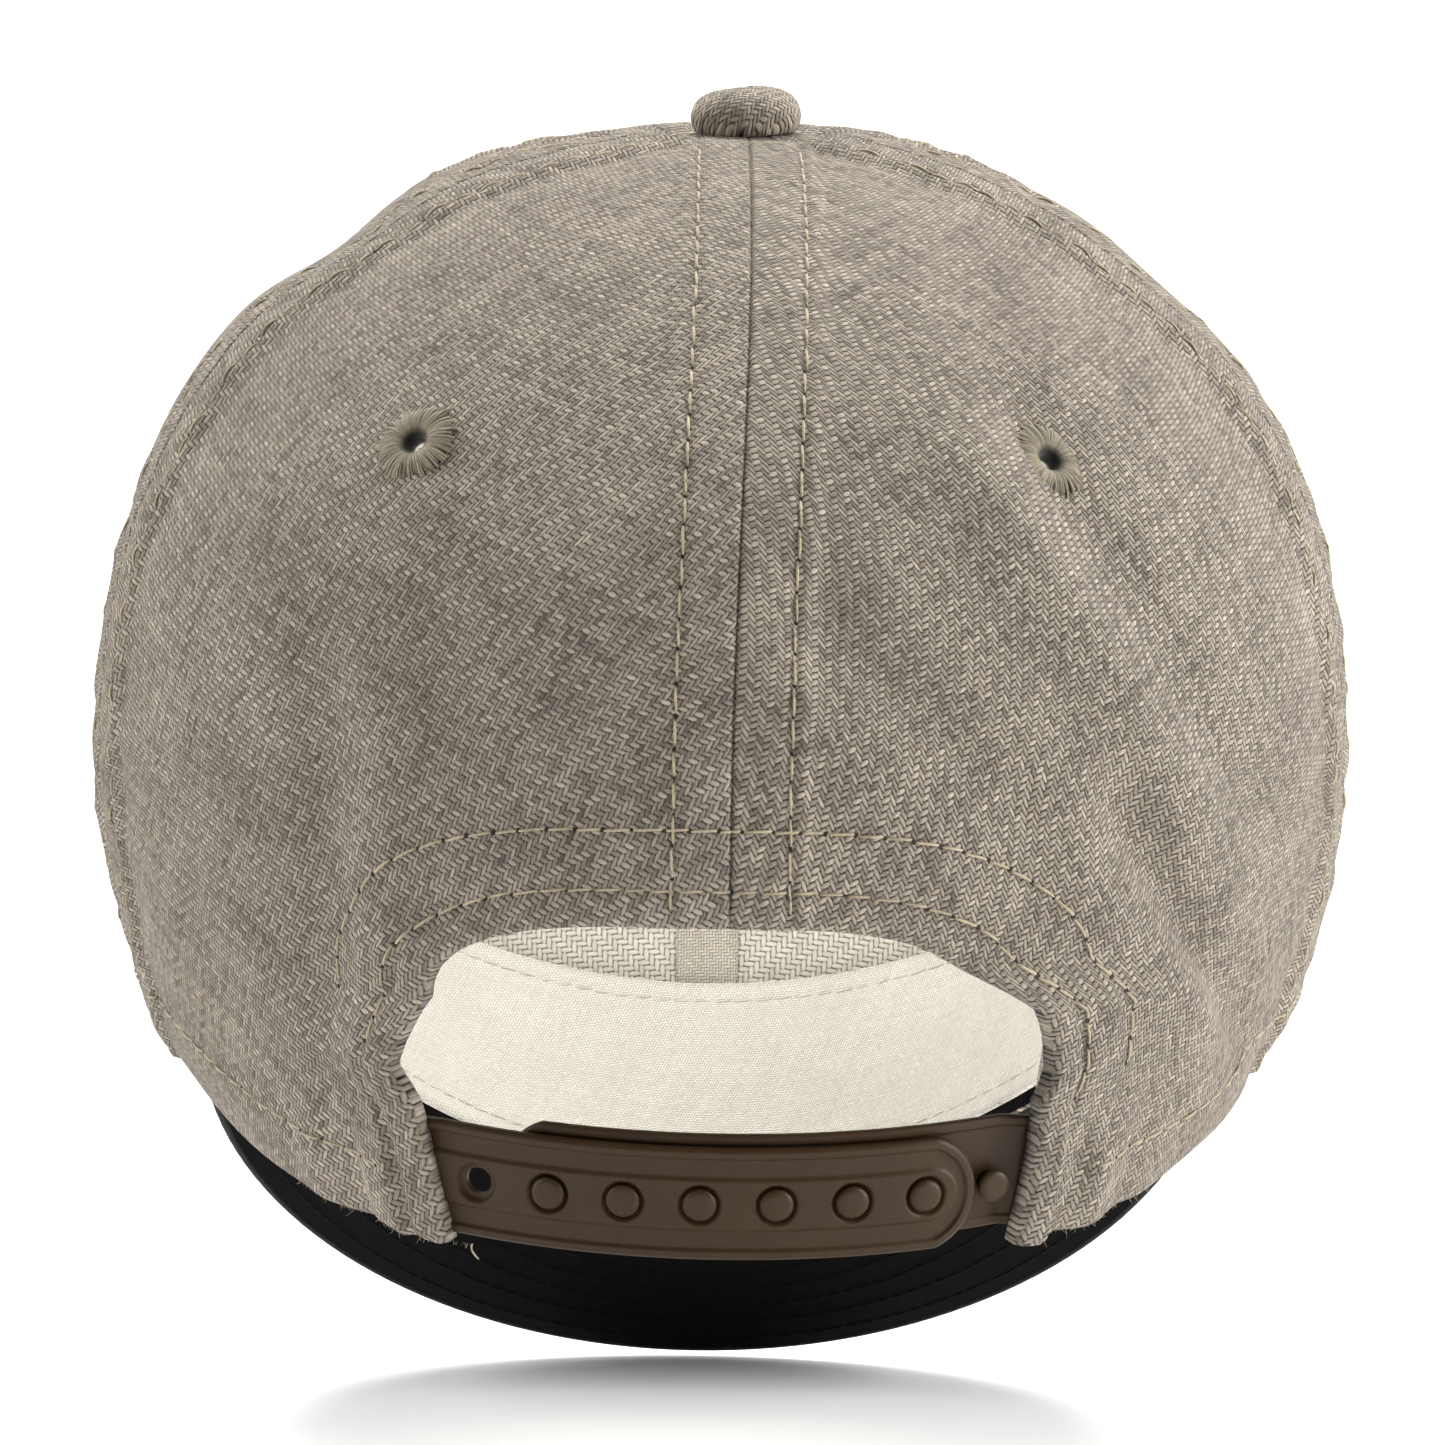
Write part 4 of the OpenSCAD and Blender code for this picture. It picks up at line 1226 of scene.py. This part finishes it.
def build_visor_stitching():
    """Rows of stitches that hold the covers to the board, on both faces"""
    pitch = 3.2 * MM
    for row in range(6):
        angle = np.linspace(math.radians(-20), math.radians(200), 4000)
        line = visor_edge(angle, (5.5 + 6.5 * row) * MM)
        depth = RIM_FRONT / math.cos(VISOR_ANGLE)
        outside = np.hypot(line[:, 0] / (RIM_HALF_W + 6 * MM), (line[:, 1] + depth) / (depth + 6 * MM)) > 1
        line = line[outside]
        run = distance_along(line)
        starts = np.arange(0, run[-1] - pitch, pitch)
        t = np.linspace(0, 1, 7)
        at = starts[:, None] + pitch * (0.07 + 0.86 * t[None])
        x, y = np.interp(at, run, line[:, 0]), np.interp(at, run, line[:, 1])
        lift = 0.16 * MM * (1 - np.abs(2 * t - 1) ** 3) - 0.06 * MM
        for word, slot, z in (("top", "visor_top", VISOR_T + lift), ("under", "visor_cloth", -lift)):
            thread = visor_point(x, y, z[None] + 0 * x)
            row_piece = tubes(f"visor_stitch_{word}_{row}", thread, 0.16 * MM, taper=0.3)
            finish_piece(row_piece, BLACK_THREAD)


# ---- inner layers ----

def strip(name, azimuth, u, depth, thickness, material, nodes):
    """A strip of cloth inside the crown, from grids of azimuths and levels"""
    top = layer_point(azimuth, u, depth)
    back = layer_point(azimuth, u, depth + thickness)
    obj = shell(name, top, back, np.stack([distance_along(top, 1), distance_along(top, 0)], -1))
    return finish_piece(obj, material, nodes=nodes)


def build_seam_tapes():
    tapes = (("front_centre", face_seam, 1, 2.7), ("front_left", front_seam, 1, 2.7),
             ("front_right", front_seam, -1, 2.7), ("rear_left", rear_seam, 1, 1.55),
             ("rear_right", rear_seam, -1, 1.55), ("rear_centre", back_seam, 1, 1.55))
    for word, azimuth_of, side, depth in tapes:
        levels = np.linspace(0.08, 1.15, 80) if word == "rear_centre" else np.linspace(0.09, 1.9, 110)
        centre = side * azimuth_of(levels)
        p = crown_point(centre, levels)
        half = np.degrees(np.arctan(6 * MM / np.hypot(p[:, 0], p[:, 1] - TOP_Y)))
        shares = np.linspace(-1, 1, 13)
        azimuth = centre[:, None] + half[:, None] * shares
        u = np.repeat(levels[:, None], len(shares), 1)
        puff = 0.35 * MM * (1 - shares ** 2)
        depths = depth * MM - puff[None] + 0 * azimuth
        strip("inner_seam_tape_" + word, azimuth, u, depths, 0.5 * MM, TAPE,
              ["seam_tape_" + word])


def build_buckram():
    for side, word in ((1, "left"), (-1, "right")):
        u, share = np.meshgrid(np.linspace(0.12, 1.92, 90), np.linspace(0, 1, 60), indexing="ij")
        azimuth = side * (front_seam(u) + 0.2 + share * (179.8 - front_seam(u)))
        strip("inner_buckram_" + word, azimuth, u, 1.55 * MM, 0.8 * MM, BUCKRAM,
              ["buckram_" + word])


def build_facing():
    """The tape that covers the turned-in edge of the rear opening"""
    rows = [arch_curve(offset, 160, low_phi=2) for offset in np.linspace(1.2 * MM, 13 * MM, 14)]
    azimuth, u = np.array(rows).transpose(1, 0, 2)
    strip("inner_arch_facing", azimuth, np.minimum(u, 2), 2.1 * MM + 0 * azimuth, 0.6 * MM, TAPE,
          ["rear_arch_facing"])


def build_sweatband():
    """The sweatband, from one side of the strap round the front to the other, with its two stitch rows"""
    columns, rows, height = 420, 24, 32 * MM
    azimuth_line = 329 - (329 - 31) * np.linspace(0, 1, columns)
    drop = MID_Z - rim_z(azimuth_line)
    rise = np.linspace(0, 1, rows)
    azimuth = np.repeat(azimuth_line[:, None], rows, 1)
    u = 1.99 - rise[None] * height / drop[:, None]
    belly = 0.5 * MM * np.sin(np.pi * rise)[None] * (1 + 0.25 * np.sin(azimuth_line / 3.1)[:, None])
    top_edge = -0.4 * MM * (1 - smooth(rise, 0.0, 0.06))[None]
    depths = 4.65 * MM + belly + top_edge + 0 * azimuth
    strip("inner_sweatband", azimuth, u, depths, 1.0 * MM, COTTON, ["sweatband"])
    for row_height, word in ((3 * MM, "low"), (29 * MM, "high")):
        line_u = 1.99 - row_height / drop
        line_a = np.where(azimuth_line > 180, azimuth_line - 360, azimuth_line)
        stitches(f"sweatband_stitch_{word}", line_a, line_u, 3.4 * MM, WHITE_THREAD,
                 depth=5.75 * MM)


# ---- loose fibres ----

def build_fibres():
    """Frayed ends along the cut corners of the cloth beside the strap, and one loose thread"""
    lines = []
    count = 170
    for side, low, high in ((1, 25.5, 44), (-1, 28.8, 46)):
        azimuth = side * rng.uniform(low, high, count)
        start = cloth_point(azimuth, np.full(count, 1.992), depth=rng.uniform(0.1, 0.9, count) * MM)
        out = base_normal(azimuth, np.full(count, 1.99))
        fall = np.stack([rng.normal(0, 0.55, count), rng.normal(0, 0.3, count), -np.ones(count)], -1)
        length = np.minimum(rng.gamma(2.0, 0.16, count), 1.0) * MM
        t = np.linspace(0, 1, 6)
        curl = rng.normal(0, 0.35, (count, 3))
        line = (start[:, None] + length[:, None, None] * (t[None, :, None] * fall[:, None]
                + t[None, :, None] ** 2 * (curl[:, None] + 0.25 * out[:, None])))
        lines.append(line)
    radii = rng.uniform(0.015, 0.03, 2 * count) * MM
    finish_piece(tubes("frayed_fibres", np.concatenate(lines), radii, sides=4, taper=0.5), STITCH)
    edge = cloth_point(np.array([25.3]), np.array([1.99]), depth=0.5 * MM)[0]
    t = np.linspace(0, 1, 12)[:, None]
    way = np.concatenate([-0.9 * t + 0.5 * np.sin(3 * t), 0.4 * t, -1.9 * t ** 1.3], 1)
    loose = edge + MM * way
    finish_piece(tubes("loose_thread", loose[None], 0.13 * MM, taper=0.3), STITCH)


# ---- carried-over parts ----

def dress_nodes():
    """Materials for the CAD parts that stay as they are"""
    materials = {"sweatband_foam": FOAM, "visor_board": BLACK_PLASTIC, "visor_top_cover": VISOR_TOP,
                 "visor_under_cover": VISOR_CLOTH}
    for node, material in materials.items():
        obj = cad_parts[node]
        obj.data.materials.clear()
        obj.data.materials.append(material)


# ---- stage, light and camera ----

def build_stage():
    """A pale floor that curves up behind the cap"""
    floor_z = CAD_BOX[0][2] - 0.8 * MM
    g = Graph("pale_paper")
    where = g.node("ShaderNodeTexCoord").outputs["Object"]
    paper = g.mix(g.noise(where, 3, 2.0), (0.86, 0.86, 0.86, 1), (0.89, 0.89, 0.89, 1))
    g.set(Base_Color=paper, Roughness=0.9)
    bend = [(-0.9 - 0.5 * math.sin(t), 0.5 - 0.5 * math.cos(t)) for t in np.linspace(0, math.pi / 2, 14)]
    profile = [(0.9, 0.0)] + bend + [(-1.4, 2.4)]
    points = [(x, y, floor_z + z) for y, z in profile for x in (-2.5, 2.5)]
    faces = [(2 * k, 2 * k + 1, 2 * k + 3, 2 * k + 2) for k in range(len(profile) - 1)]
    backdrop = new_object("pale_backdrop", points, faces)
    backdrop.data.materials.append(g.material)


def area_light(name, place, target, size, power, colour=(1, 1, 1)):
    light = bpy.data.lights.new(name, "AREA")
    light.shape = "RECTANGLE"
    light.size, light.size_y = size
    light.energy = power
    light.color = colour
    obj = add_object(name, light)
    obj.location = place
    obj.rotation_euler = (Vector(target) - Vector(place)).to_track_quat("-Z", "Y").to_euler()
    obj.visible_camera = False


def build_lights():
    middle = (0, 0, 0.06)
    area_light("top_light", (0.0, -0.15, 1.15), middle, (1.0, 0.8), 14.0)
    area_light("left_light", (1.15, 0.05, 0.45), middle, (0.7, 1.0), 10.4)
    area_light("right_light", (-1.12, 0.3, 0.3), middle, (0.7, 1.0), 21.0)
    area_light("camera_light", (-0.3, 1.2, 0.6), middle, (0.7, 0.7), 0.2)
    area_light("inside_light", (0.0, 0.0, 0.09), (0, -0.09, 0.02), (0.08, 0.06), 0.13)
    area_light("backdrop_light", (0.0, -0.5, 1.6), (0, -1.4, 0.3), (1.6, 0.4), 24.0)
    world = bpy.data.worlds.new("studio")
    world.use_nodes = True
    world.node_tree.nodes["Background"].inputs[0].default_value = (0.93, 0.96, 1.0, 1)
    world.node_tree.nodes["Background"].inputs[1].default_value = 0.155
    bpy.context.scene.world = world
    bpy.context.scene.view_settings.view_transform = "Standard"


def build_camera():
    """Level, behind the cap, turned and rolled by one degree"""
    yaw, roll = math.radians(1), math.radians(1)
    distance, height = 600 * MM, 67.9 * MM
    forward = Vector((-math.sin(yaw), -math.cos(yaw), 0))
    up = Vector((0, 0, 1))
    right = forward.cross(up)
    x = right * math.cos(roll) + up * math.sin(roll)
    y = up * math.cos(roll) - right * math.sin(roll)
    m = Matrix.Identity(4)
    for column, axis in enumerate((x, y, -forward)):
        m.col[column][:3] = axis
    m.col[3][:3] = Vector((distance * math.sin(yaw) - 0.3 * MM, distance * math.cos(yaw), height))
    camera = bpy.data.cameras.new("camera")
    camera.lens = 102.5
    camera.sensor_width = 36
    camera.clip_start = 0.01
    obj = add_object("camera", camera)
    obj.matrix_world = m
    bpy.context.scene.camera = obj


build_camera()
build_stage()
build_lights()
build_panels()
build_stitching()
build_eyelets()
build_button()
build_button_inside()
build_straps()
build_binding()
build_visor_root()
build_visor_stitching()
build_seam_tapes()
build_buckram()
build_facing()
build_sweatband()
build_fibres()
dress_nodes()
